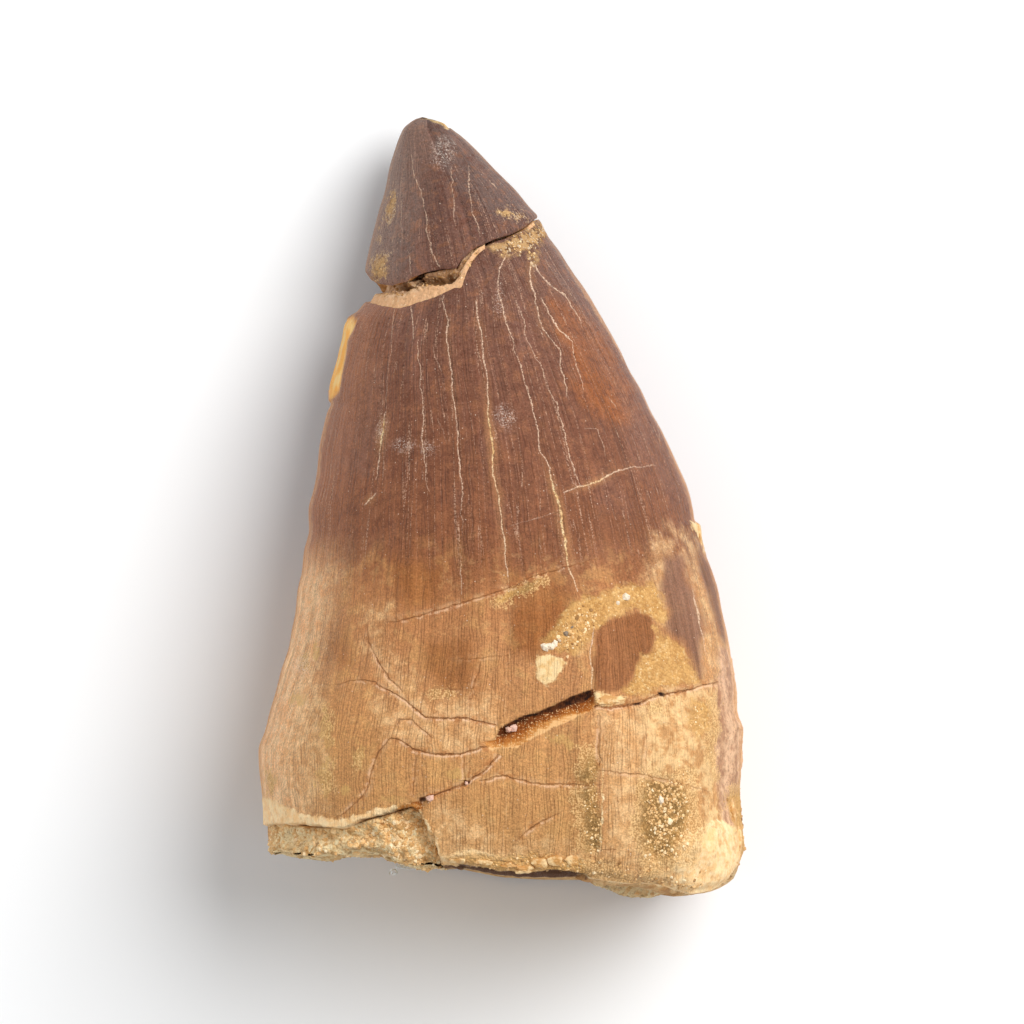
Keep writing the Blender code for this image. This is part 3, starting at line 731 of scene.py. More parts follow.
def cap(P_ring, outward, rings, profile, seed, base_f):
    """Rings from an edge to its middle, pushed along Y by profile(share)."""
    n = len(P_ring)
    middle = P_ring.mean(axis=0)
    share = np.linspace(0, 1, rings + 1)
    verts = []
    for s in share:
        ring = P_ring + (middle - P_ring) * min(s, 0.995)
        ring = ring.copy()
        ring[:, 1] = P_ring[:, 1] + (middle[1] - P_ring[:, 1]) * smooth(np.array(s), 0, 1)
        k = profile(s) if not callable(base_f) else profile(s) * base_f(ring)
        ring[:, 1] += outward * (k + 0.16 * noise(ring, 0.9, seed, 3) * min(1.0, s * 5) * (s < 0.99))
        verts.append(ring)
    return np.concatenate(verts)


def cap_faces(start, n, rings, flip=False, first=None):
    """Faces between the rings of a cap whose vertices begin at start; first is a ring to join it to instead of its own."""
    faces = []
    prev = start + np.arange(n) if first is None else first
    for k in range(1, rings + 1):
        cur = start + k * n + np.arange(n)
        a, b = prev, np.roll(prev, -1)
        d, e = cur, np.roll(cur, -1)
        quad = np.stack((a, b, e, d), axis=1)
        faces.append(quad[:, ::-1] if flip else quad)
        prev = cur
    return np.concatenate(faces)


PLAIN = {"fan": (0, 0, 0), "flat": (0, 0, 0), "mask_a": (-REACH,) * 3, "mask_b": (-REACH,) * 3, "mask_c": (-REACH,) * 3,
         "mask_d": (-REACH, -REACH, -REACH), "pale_d": (9, 9, 0), "dark_d": (9, 9, 0), "line_w": (0, 0, 60), "zone_a": (-34, -34, -34), "zone_b": (-34, 0, 0)}

attrs = pack_attributes(g, f)
flat = P.reshape(-1, 3)
verts = [flat]
faces = [grid_faces(rows - 1, cols)]
def foot_dent(pts):
    """Share of the dent in the lower outline, left of the middle."""
    at = 505.0 + pts[:, 0] / S
    return smooth(at, 339, 350) * (1 - smooth(at, 382, 393))


# base end: a rim of dentine, then the pulp cavity behind the sediment
base_ring = flat[(rows - 1) * cols:]
base_cap = cap(base_ring, -1.0, 20, lambda s: 0.25 * math.sin(min(s / 0.2, 1) * math.pi) - 2.4 * float(smooth(np.array(s), 0.2, 0.3)), 71, None)
# the lower half of the rim stays back under the upper one
low_half = np.tile(smooth(10.0 - base_ring[:, 2], 0.0, 3.0), 21)
cap_share = np.repeat(np.arange(21) / 20.0, cols)
base_cap[:, 1] += low_half * 0.42 * np.sin(np.minimum(cap_share / 0.25, 1.0) * math.pi)
base_cap[:, 1] += foot_dent(base_cap) * np.maximum(-22.30 - base_cap[:, 1], 0)
n0 = len(flat)
verts.append(base_cap)
faces.append(cap_faces(n0, cols, 20))
count = len(base_cap)
tail = {k: np.broadcast_to(np.asarray(v, float), (count, 3)).copy() for k, v in PLAIN.items()}
rs = np.repeat(np.arange(21) / 20.0, cols)
tail["fan"] = np.stack((np.tile(np.arange(cols) * 0.15, 21), rs * 30, np.full(count, 0.97)), axis=1)
tail["flat"] = np.stack((base_cap[:, 0], base_cap[:, 2], base_cap[:, 1]), axis=1)
tail["mask_a"][:, 1] = np.where(rs < 0.03, 3.0, -6.0)
# painted shade: dark colour on the underside behind the hollow in the middle of the foot
ring_px = np.tile(np.where(g["back"][-1] < 0.5, g["px"][-1], 0.0), 21)
underside_shade_d = 5.0 * (1 - np.sqrt(((ring_px - 521) / 72.0) ** 2 + ((rs - 0.03) / 0.105) ** 2))
tail["mask_d"][:, 2] = np.clip(underside_shade_d + 1.6 * noise(base_cap, 0.6, 79, 3, 0.6), -6.0, 2.5)
tail["mask_a"][:, 2] = np.where(rs < 0.35, 8.0, -8.0)
tail["mask_a"][:, 0] = np.where(rs > 0.3, 10.0, -10.0)
attrs = {k: np.concatenate((attrs[k], tail[k])) for k in attrs}
# head: rough broken dentine
head_ring = flat[:cols]
head_cap = cap(head_ring, 1.0, 9, lambda s: -0.22 * float(smooth(np.array(s), 0, 0.3)), 73, None)
verts.append(head_cap)
faces.append(cap_faces(n0 + count, cols, 9, flip=True))
count2 = len(head_cap)
tail = {k: np.broadcast_to(np.asarray(v, float), (count2, 3)).copy() for k, v in PLAIN.items()}
tail["fan"] = np.stack((np.tile(np.arange(cols) * 0.15, 10), np.repeat(np.arange(10), cols) * 1.0, np.full(count2, 0.9)), axis=1)
tail["flat"] = np.stack((head_cap[:, 0], head_cap[:, 2], head_cap[:, 1]), axis=1)
tail["mask_a"][:, 2] = 10.0
attrs = {k: np.concatenate((attrs[k], tail[k])) for k in attrs}
crown = make_mesh("crown_enamel", np.concatenate(verts), np.concatenate(faces), attrs=attrs)

# =============================================================== tip piece
print("tip")
APEX = np.array(((300, 117.5), (600, 117.5)), float)
gt = shell(APEX, TIP_FOOT, 130, 40, 120, row_power=1.35, back_bottom=-1.2)
Pt = np.stack((gt["x"], gt["y"], gt["z"]), axis=2)
Nt = normals(Pt)
ft = feature_attributes(gt)
tpx, tpy = gt["px"].reshape(-1), gt["py"].reshape(-1)
tarc = gt["arc"].reshape(-1)
qt = np.stack((tarc, tpy * S, Pt.reshape(-1, 3)[:, 2] * 0.2), axis=1)
rt = 0.06 * noise(qt, 0.25, 13, 2) + 0.02 * noise(qt, 0.9, 15, 2)
rt += 0.012 * noise(np.stack((tarc, tpy * S * 0.12, 0 * tarc), axis=1), 1.6, 17, 2)
rt += crack_relief(ft, "p1", 0.008) + crack_relief(ft, "p2", 0.008)
rt += smooth(ft["sand"] + 1.4 * noise(qt, 2.2, 19, 2), -1, 2) * (0.05 + 0.07 * noise(qt, 3.2, 23, 3, 0.65))
rt -= smooth(ft["cream"], -1, 2) * 0.10 * (1 + noise(qt, 2.0, 29, 2))
foot_gap = np.interp(tpx, TIP_FOOT[:, 0], TIP_FOOT[:, 1]) - tpy
rt -= 0.16 * np.exp(-np.maximum(foot_gap, 0) / 2.0)
# a low ridge down the left side of the tip
rt += 0.05 * np.exp(-(((tpx - (402 - (tpy - 150) * 0.02)) / 5.0) ** 2)) * smooth(tpy, 140, 170) * ft["front"]
Pt = Pt + Nt * rt.reshape(gt["shape"])[..., None]
trows, tcols = gt["shape"]
tflat = Pt.reshape(-1, 3)
tattrs = pack_attributes(gt, ft)
tv, tf = [tflat], [grid_faces(trows - 1, tcols)]
foot_cap = cap(tflat[(trows - 1) * tcols:], -1.0, 9, lambda s: -0.2 * float(smooth(np.array(s), 0, 0.3)), 75, None)
tv.append(foot_cap)
tf.append(cap_faces(len(tflat), tcols, 9))
nc = len(foot_cap)
tail = {k: np.broadcast_to(np.asarray(v, float), (nc, 3)).copy() for k, v in PLAIN.items()}
tail["fan"] = np.stack((np.tile(np.arange(tcols) * 0.15, 10), np.repeat(np.arange(10), tcols) * 1.0, np.full(nc, 0.9)), axis=1)
tail["flat"] = np.stack((foot_cap[:, 0], foot_cap[:, 2], foot_cap[:, 1]), axis=1)
tail["mask_a"][:, 2] = 10.0
tattrs = {k: np.concatenate((tattrs[k], tail[k])) for k in tattrs}
apex_cap = cap(tflat[:tcols], 1.0, 3, lambda s: 0.02 * s, 77, None)
tv.append(apex_cap)
tf.append(cap_faces(len(tflat) + nc, tcols, 3, flip=True, first=np.arange(tcols)))
na = len(apex_cap)
tail = {k: np.tile(tattrs[k][:tcols], (4, 1)) for k in tattrs}
tattrs = {k: np.concatenate((tattrs[k], tail[k])) for k in tattrs}
tip = make_mesh("tip_enamel_piece", np.concatenate(tv), np.concatenate(tf), attrs=tattrs)

# =============================================================== cement in the tip break
print("cement")
gc = shell(TIP_FOOT, CROWN_HEAD, 180, 50, 22, top_pad=-3.0, bottom_pad=3.0, back_top=-4.0, back_bottom=4.0)
Pc = np.stack((gc["x"], gc["y"], gc["z"]), axis=2)
Nc = normals(Pc)
cpx, cpy = gc["px"].reshape(-1), gc["py"].reshape(-1)
upper = np.interp(cpx, TIP_FOOT[:, 0], TIP_FOOT[:, 1])
lower = np.interp(cpx, CROWN_HEAD[:, 0], CROWN_HEAD[:, 1])
across = (cpy - upper) / np.maximum(lower - upper, 1.0)
qc = np.stack((gc["arc"].reshape(-1), cpy * S, 0 * cpy), axis=1)
rc = -0.12 + 0.13 * noise(qc, 1.9, 61, 3, 0.6) * np.where(across < 0.55, 1.0, 0.45)
rc -= 0.60 * smooth(across, 0.52, 0.18)
cave = spots_field(cpx, cpy, [(430, 277, 26, 7), (398, 284, 14, 3.5), (449, 272, 10, 5), (415, 281, 7, 4)])
rc -= 0.9 * smooth(cave + 1.5 * noise(qc, 2.5, 63, 2), -1.0, 2.5)
rc += 0.10 * smooth(cpx, 452, 462)
rc -= 0.85 * smooth(cpx, 484, 490) * (1 - smooth(cpx, 522, 530))
rc -= 0.52 * smooth((gc["keel"] + 2.2 - gc["z"]).reshape(-1), 0.0, 2.0)
Pc = Pc + Nc * rc.reshape(gc["shape"])[..., None]
crows, ccols = gc["shape"]
cement_depth = np.stack((np.clip(-rc, 0, 2), across, smooth(cave, -2, 3)), axis=1)
cf = Pc.reshape(-1, 3)
ends = [cap(cf[:ccols], 1.0, 4, lambda s: 0.0, 81, None), cap(cf[(crows - 1) * ccols:], -1.0, 4, lambda s: 0.0, 83, None)]
cfaces = [grid_faces(crows - 1, ccols), cap_faces(len(cf), ccols, 4, flip=True), cap_faces(len(cf) + len(ends[0]), ccols, 4)]
call = np.concatenate([cf] + ends)
cem_attr = {"depth": np.concatenate((cement_depth, np.full((len(call) - len(cf), 3), 0.5)))}
cement = make_mesh("break_cement_fill", call, np.concatenate(cfaces), attrs=cem_attr)

# =============================================================== sediment in the root end
print("sediment")
gs = shell(np.array(((200, 800), (800, 800)), float), BASE_FOOT, 200, 60, 34, bottom_pad=1.0)
Ps = np.stack((gs["x"], gs["y"], gs["z"]), axis=2)
Ns = normals(Ps)
spx, spy = gs["px"].reshape(-1), gs["py"].reshape(-1)
sfield = union_field(spx, spy, NOTCH)
szn = smooth(gs["z"].reshape(-1), 7.0, 7.8)
notch_in = smooth(sfield * szn - REACH * (1 - szn), -4.0, -1.0)
qn = np.stack((gs["arc"].reshape(-1), spy * S, 0 * spy), axis=1)
body_r = -0.62 + 0.40 * noise(qn, 0.7, 91, 2) + 0.50 * noise(qn, 1.5, 93, 4, 0.62)
body_r += 0.35 * smooth(spy, 838, 850) * (1 - smooth(spx, 400, 436))
body_r -= 0.5 * np.exp(-(((spx - 424) / 10.0) ** 2))
rs_ = np.where(notch_in > 0, body_r * notch_in - 2.9 * (1 - notch_in), -2.9)
Ps = Ps + Ns * rs_.reshape(gs["shape"])[..., None]
srows, scols = gs["shape"]
sf = Ps.reshape(-1, 3)
disc = cap(sf[(srows - 1) * scols:], -1.0, 26, lambda s: 0.30 * float(smooth(np.array(s), 0, 0.15)) - 0.5 * float(smooth(np.array(s), 0.1, 0.9)), 97, None)
disc[:, 1] += 0.35 * noise(disc, 0.45, 99, 2) + 0.14 * noise(disc, 2.2, 101, 3, 0.65)
disc[:, 1] += foot_dent(disc) * np.maximum(-22.30 + 0.16 * noise(disc, 2.0, 105, 2) - disc[:, 1], 0)
inner = cap(sf[:scols], 1.0, 3, lambda s: 0.0, 103, None)
sall = np.concatenate((sf, disc, inner))
sfaces = np.concatenate((grid_faces(srows - 1, scols), cap_faces(len(sf), scols, 26), cap_faces(len(sf) + len(disc), scols, 3, flip=True)))
sediment = make_mesh("root_sediment", sall, sfaces, attrs={"depth": np.stack((np.concatenate((-rs_, np.full(len(sall) - len(sf), 0.8))), sall[:, 0], sall[:, 2]), axis=1)})
sed_grid = {"g": gs, "P": Ps, "N": normals(Ps), "disc": disc}

# =============================================================== sand grains
print("grains")
rng = np.random.default_rng(7)
t = (1 + 5 ** 0.5) / 2
ICO_V = np.array([(-1, t, 0), (1, t, 0), (-1, -t, 0), (1, -t, 0), (0, -1, t), (0, 1, t), (0, -1, -t), (0, 1, -t), (t, 0, -1), (t, 0, 1), (-t, 0, -1), (-t, 0, 1)], float)
ICO_V /= np.linalg.norm(ICO_V[0])
ICO_F = np.array([(0, 11, 5), (0, 5, 1), (0, 1, 7), (0, 7, 10), (0, 10, 11), (1, 5, 9), (5, 11, 4), (11, 10, 2), (10, 7, 6), (7, 1, 8), (3, 9, 4), (3, 4, 2),
                  (3, 2, 6), (3, 6, 8), (3, 8, 9), (4, 9, 5), (2, 4, 11), (6, 2, 10), (8, 6, 7), (9, 8, 1)])
grain_v, grain_f, grain_t = [], [], []
grain_n = 0


def add_grains(points, norms, radii, tones, sink=0.15):
    """Rounded angular grains, half sunk in the surface."""
    global grain_n
    m = len(points)
    scale = radii[:, None] * rng.uniform(0.75, 1.2, (m, 3))
    local = ICO_V[None] * rng.uniform(0.66, 1.16, (m, 12, 1)) * scale[:, None, :]
    a = rng.normal(size=(m, 3, 3))
    rot, _ = np.linalg.qr(a)
    local = np.einsum("mij,mkj->mki", rot, local)
    centre = points - norms * (radii * sink)[:, None]
    v = local + centre[:, None, :]
    v[..., 2] = np.maximum(v[..., 2], 0.0)
    grain_v.append(v.reshape(-1, 3))
    grain_f.append((ICO_F[None] + (np.arange(m) * 12)[:, None, None] + grain_n).reshape(-1, 3))
    grain_t.append(np.repeat(tones, 12))
    grain_n += m * 12


def sample_grid(grid, n, weight):
    """Random points on a shell where weight (flat, per vertex) allows."""
    g_, P_, N_ = grid["g"], grid["P"], grid["N"]
    r, c_ = g_["shape"]
    w = weight.reshape(g_["shape"])[:-1].astype(float).copy()
    across_v = np.roll(P_, -1, axis=1)[:-1] - P_[:-1]
    along_v = P_[1:] - P_[:-1]
    w *= np.linalg.norm(np.cross(across_v, along_v), axis=2)
    prob = w.reshape(-1) / w.sum()
    pick = rng.choice(len(prob), n, p=prob)
    i, j = pick // c_, pick % c_
    u, v = rng.random(n), rng.random(n)
    k = (j + 1) % c_
    pts = (P_[i, j] * ((1 - u) * (1 - v))[:, None] + P_[i, k] * (u * (1 - v))[:, None] + P_[i + 1, j] * ((1 - u) * v)[:, None] + P_[i + 1, k] * (u * v)[:, None])
    return pts, N_[i, j]


def scatter(grid, n, weight, lo, hi, tone=(0.0, 1.0), sink=0.15):
    pts, nrm = sample_grid(grid, n, weight)
    radii = lo + (hi - lo) * rng.random(n) ** 1.8
    add_grains(pts, nrm, radii, rng.uniform(tone[0], tone[1], n), sink)


def region(polys, fade=7.0):
    return np.clip((union_field(px, py, polys) + fade) / (fade + 5.0), 0, 1) ** 2.2 * (f["front"] > 0.6)


scatter(crown_grid, 110, region([SAND[3]], 3.0), 0.04, 0.13, (2.45, 2.6), 0.35)
scatter(crown_grid, 90, region([SAND[3]], 4.0), 0.04, 0.12, (0.2, 1.0), 0.35)
scatter(crown_grid, 40, region([SAND[4]]), 0.03, 0.07, (0.3, 1.0), 0.5)
scatter(crown_grid, 170, region([SAND[5]]), 0.03, 0.09, (0.1, 1.0), 0.5)
scatter(crown_grid, 120, region([((556, 640), (560, 622), (580, 606), (598, 604), (596, 622), (580, 644), (566, 652))]), 0.06, 0.19, (0.0, 1.0), 0.25)
scatter(crown_grid, 110, region([SAND[6]]), 0.03, 0.08, (0.2, 1.0), 0.5)
scatter(crown_grid, 620, region([SAND[7]], 12.0), 0.05, 0.17, (0.35, 1.0), 0.3)
scatter(crown_grid, 170, region([SAND[8]], 7.0), 0.04, 0.13, (0.3, 1.0), 0.35)
scatter(crown_grid, 80, region([SAND[9]]), 0.06, 0.17, (0.0, 0.9), 0.3)
scatter(crown_grid, 40, region([SAND[10]]), 0.05, 0.12, (0.3, 1.0), 0.4)
scatter(crown_grid, 150, region([SAND[11]], 6.0), 0.05, 0.16, (0.0, 0.9), 0.35)
scatter(crown_grid, 120, region([((590, 852), (640, 862), (700, 872), (700, 892), (640, 884), (590, 874))], 8.0), 0.05, 0.17, (0.0, 1.0), 0.3)
scatter(crown_grid, 90, region(POROUS), 0.04, 0.12, (0.3, 1.0), 0.4)
scatter(crown_grid, 300, (f["sand"] > 1) * (f["front"] < 0.4) * (P.reshape(-1, 3)[:, 2] > 0.6), 0.07, 0.22)
tip_grid = {"g": gt, "P": Pt, "N": normals(Pt)}
scatter(tip_grid, 70, (ft["sand"] > -2.0) * (ft["front"] > 0.6) * 1.0, 0.03, 0.08, (0.1, 1.0), 0.4)
cem_grid = {"g": gc, "P": Pc, "N": normals(Pc)}
scatter(cem_grid, 170, ((cpx < 486) * (rc > -1.6) * (gc["back"].reshape(-1) < 0.5)) * np.where((across < 0.5) | (cpx > 455), 1.0, 0.03), 0.05, 0.14)
scatter(cem_grid, 60, ((cpx > 526) * (rc > -1.6)) * 1.0, 0.05, 0.12)
scatter(sed_grid, 820, (notch_in > 0.9) * (sfield > -0.5) * (0.30 + 0.70 * smooth(spx, 320, 400)), 0.05, 0.26, (0.30, 1.0), 0.35)
sel = rng.choice(len(disc), 900, replace=False)
add_grains(disc[sel], np.tile((0.0, -1.0, 0.0), (len(sel), 1)), rng.uniform(0.08, 0.27, len(sel)), rng.uniform(0.40, 1.0, len(sel)), 0.3)


def on_crown(x, y):
    d = (g["px"] - x) ** 2 + (g["py"] - y) ** 2 + g["back"] * 1e6
    i, j = np.unravel_index(np.argmin(d), d.shape)
    return crown_grid["P"][i, j], crown_grid["N"][i, j]


# single larger grains: pink quartz in the cracks, a dark grey one, white ones
for x, y, r, tone in ((508, 728, 0.30, 2.0), (512.5, 725.5, 0.33, 2.0), (546, 648, 0.26, 2.3), (552, 646, 0.28, 2.3), (429, 799, 0.26, 2.0), (565, 633, 0.23, 3.0), (549, 646, 0.34, 2.3), (543, 645, 0.22, 2.3), (555, 643, 0.24, 2.3), (571, 628, 0.15, 3.0), (560, 640, 0.2, 2.5),
                      (467, 783, 0.16, 2.0), (662, 800, 0.3, 2.3), (671, 822, 0.28, 1.0), (625, 598, 0.32, 2.3), (618, 603, 0.2, 2.3)):
    p_, n_ = on_crown(x, y)
    add_grains(p_[None] + n_[None] * (0.25 if tone == 2.0 and y > 700 else 0.0), n_[None], np.array([r]), np.array([tone]), 0.1)
gv, gf, gtone = np.concatenate(grain_v), np.concatenate(grain_f), np.concatenate(grain_t)
grains = make_mesh("sand_grains", gv, np.zeros((0, 4), int), gf, attrs={"tone": gtone}, smooth_shade=False)
print("grain triangles", len(gf))

# =============================================================== crust flakes along the foot
chip_v, chip_f = [], []
chip_n = 0


def add_chip(x, y, rx, ry, lift, seed):
    """A low irregular plate of crust lying on the surface."""
    global chip_n
    p_, n_ = on_crown(x, y)
    a = np.cross(n_, (0, 1, 0))
    a /= np.linalg.norm(a)
    b = np.cross(n_, a)
    k = 16
    ang = np.arange(k) * 2 * math.pi / k
    wob = 1 + 0.75 * noise(np.stack((np.cos(ang), np.sin(ang), np.full(k, seed * 3.7)), axis=1), 1.6, seed, 2)
    for ring, (fr, h) in enumerate(((1.0, -0.25), (0.93, lift * 0.45), (0.6, lift * 0.7), (0.25, lift * 0.75))):
        pts = p_ + np.outer(np.cos(ang) * rx * fr * wob * S, a) + np.outer(np.sin(ang) * ry * fr * wob * S, b) + n_ * h
        pts = pts + 0.03 * np.stack([noise(pts, 3.0, seed + 40 + i, 2) for i in range(3)], axis=1)
        chip_v.append(pts)
    chip_v.append((p_ + n_ * lift)[None])
    for ring in range(3):
        o = chip_n + ring * k
        i = np.arange(k)
        chip_f.append(np.stack((o + i, o + (i + 1) % k, o + k + (i + 1) % k), axis=1))
        chip_f.append(np.stack((o + i, o + k + (i + 1) % k, o + k + i), axis=1))
    o = chip_n + 3 * k
    i = np.arange(k)
    chip_f.append(np.stack((o + i, o + (i + 1) % k, np.full(k, chip_n + 4 * k)), axis=1))
    chip_n += 4 * k + 1


for n_chip, (x, y, rx, ry, lift) in enumerate(((510, 866, 8, 4, .22), (524, 868, 9, 4, .26), (540, 863, 8, 5, .24), (556, 861, 8, 5, .2), (571, 860, 7, 5, .2),
                                              (486, 861, 10, 3, .16), (430, 863, 14, 3, .12), (458, 861, 9, 3, .12), (740, 812, 6, 12, .22),
                                              (738, 840, 6, 12, .24), (699, 536, 5, 13, .10), (611, 699, 14, 5, .10))):
    add_chip(x, y, rx, ry, lift, n_chip + 1)
chips = make_mesh("crust_chips", np.concatenate(chip_v), np.zeros((0, 4), int), np.concatenate(chip_f), smooth_shade=False)

# =============================================================== lint fibre at the foot
fibre_v, fibre_f = [], []
fn = 0
for k, path in enumerate((((398, 864), (395, 868), (399, 872), (394, 876), (391, 873)), ((396, 866), (402, 869), (406, 867)), ((393, 868), (389, 871), (390, 876)),
                          ((397, 864), (404, 867), (413, 866), (421, 869), (429, 868)), ((399, 866), (408, 869.5), (416, 868), (424, 871)),
                          ((392, 874), (397, 873), (396, 869), (391, 870), (392, 875)))):
    path = np.array(path, float)
    tt = np.linspace(0, len(path) - 1, 26)
    soft = np.array([np.interp(np.clip(tt + o, 0, len(path) - 1), range(len(path)), path[:, 0]) for o in (-0.6, -0.4, -0.2, 0.0, 0.2, 0.4, 0.6)])
    xx = soft.mean(axis=0)
    soft = np.array([np.interp(np.clip(tt + o, 0, len(path) - 1), range(len(path)), path[:, 1]) for o in (-0.6, -0.4, -0.2, 0.0, 0.2, 0.4, 0.6)])
    yy = soft.mean(axis=0)
    zz = 16.5 - 0.35 * tt + 0.25 * np.sin(tt * 3 + k)
    X_, Y_ = place(xx, yy, zz)
    line = np.stack((X_, Y_, zz), axis=1)
    for i in range(len(line)):
        d = line[min(i + 1, len(line) - 1)] - line[max(i - 1, 0)]
        d /= np.linalg.norm(d)
        a = np.cross(d, (0.3, 0.2, 1.0))
        a /= np.linalg.norm(a)
        b = np.cross(d, a)
        r = 0.040 if 0 < i < len(line) - 1 else 0.01
        ang = np.arange(5) * 2 * math.pi / 5
        fibre_v.append(line[i] + r * (np.outer(np.cos(ang), a) + np.outer(np.sin(ang), b)))
    for i in range(len(line) - 1):
        o = fn + i * 5
        j = np.arange(5)
        fibre_f.append(np.stack((o + j, o + (j + 1) % 5, o + 5 + (j + 1) % 5, o + 5 + j), axis=1))
    fn += len(line) * 5
fibre = make_mesh("lint_fibre", np.concatenate(fibre_v), np.concatenate(fibre_f))


# =============================================================== materials
class Net:
    """Short names for the node kinds used below."""

    def __init__(self, name):
        self.mat = bpy.data.materials.new(name)
        self.mat.use_nodes = True
        self.t = self.mat.node_tree
        self.shader = self.t.nodes["Principled BSDF"]

    def put(self, socket, value):
        if isinstance(value, bpy.types.NodeSocket):
            self.t.links.new(value, socket)
        elif isinstance(value, (tuple, list)) and len(value) == 3 and socket.type == "RGBA":
            socket.default_value = (*value, 1.0)
        else:
            socket.default_value = value

    def node(self, kind, inputs=(), **props):
        n = self.t.nodes.new(kind)
        for k, v in props.items():
            setattr(n, k, v)
        for key, v in dict(inputs).items():
            self.put(n.inputs[key], v)
        return n

    def attr(self, name):
        n = self.node("ShaderNodeAttribute", attribute_name=name)
        s = self.node("ShaderNodeSeparateXYZ", {0: n.outputs["Vector"]})
        return n, s.outputs[0], s.outputs[1], s.outputs[2]

    def value_attr(self, name):
        return self.node("ShaderNodeAttribute", attribute_name=name).outputs["Fac"]

    def m(self, op, a, b=0.0, c_=None, clamp=False):
        ins = {0: a, 1: b}
        if c_ is not None:
            ins[2] = c_
        return self.node("ShaderNodeMath", ins, operation=op, use_clamp=clamp).outputs[0]

    def smooth(self, x, lo, hi, out_lo=0.0, out_hi=1.0):
        n = self.node("ShaderNodeMapRange", {"Value": x, "From Min": lo, "From Max": hi, "To Min": out_lo, "To Max": out_hi}, interpolation_type="SMOOTHSTEP")
        return n.outputs[0]

    def noise(self, vec, scale, detail=2.0, rough=0.5, distort=0.0, colour=False):
        n = self.node("ShaderNodeTexNoise", {"Vector": vec, "Scale": scale, "Detail": detail, "Roughness": rough, "Distortion": distort})
        return n.outputs["Color" if colour else "Fac"]

    def cells(self, vec, scale, feature="F1", out="Distance", rand=1.0):
        n = self.node("ShaderNodeTexVoronoi", {"Vector": vec, "Scale": scale, "Randomness": rand}, feature=feature)
        return n.outputs[out]

    def stretch(self, vec, sx, sy, sz):
        return self.node("ShaderNodeVectorMath", {0: vec, 1: (sx, sy, sz)}, operation="MULTIPLY").outputs[0]

    def mix(self, fac, a, b, mode="MIX"):
        n = self.node("ShaderNodeMix", data_type="RGBA", blend_type=mode)
        self.put(n.inputs["Factor"], fac)
        self.put(n.inputs[6], a)
        self.put(n.inputs[7], b)
        return n.outputs[2]

    def mixf(self, fac, a, b):
        n = self.node("ShaderNodeMix", data_type="FLOAT")
        self.put(n.inputs["Factor"], fac)
        self.put(n.inputs[2], a)
        self.put(n.inputs[3], b)
        return n.outputs[0]

    def ramp(self, fac, stops, mode="LINEAR"):
        n = self.node("ShaderNodeValToRGB", {"Fac": fac})
        r = n.color_ramp
        r.interpolation = mode
        while len(r.elements) < len(stops):
            r.elements.new(0.5)
        for e, (pos, col) in zip(r.elements, stops):
            e.position = pos
            e.color = (*col, 1.0)
        return n.outputs[0]

    def finish(self, colour, rough, height=None, distance=0.0001, strength=1.0, **consts):
        self.put(self.shader.inputs["Base Color"], colour)
        self.put(self.shader.inputs["Roughness"], rough)
        if height is not None:
            b = self.node("ShaderNodeBump", {"Height": height, "Distance": distance, "Strength": strength})
            self.put(self.shader.inputs["Normal"], b.outputs[0])
        for k, v in consts.items():
            self.put(self.shader.inputs[k], v)
        return self.mat


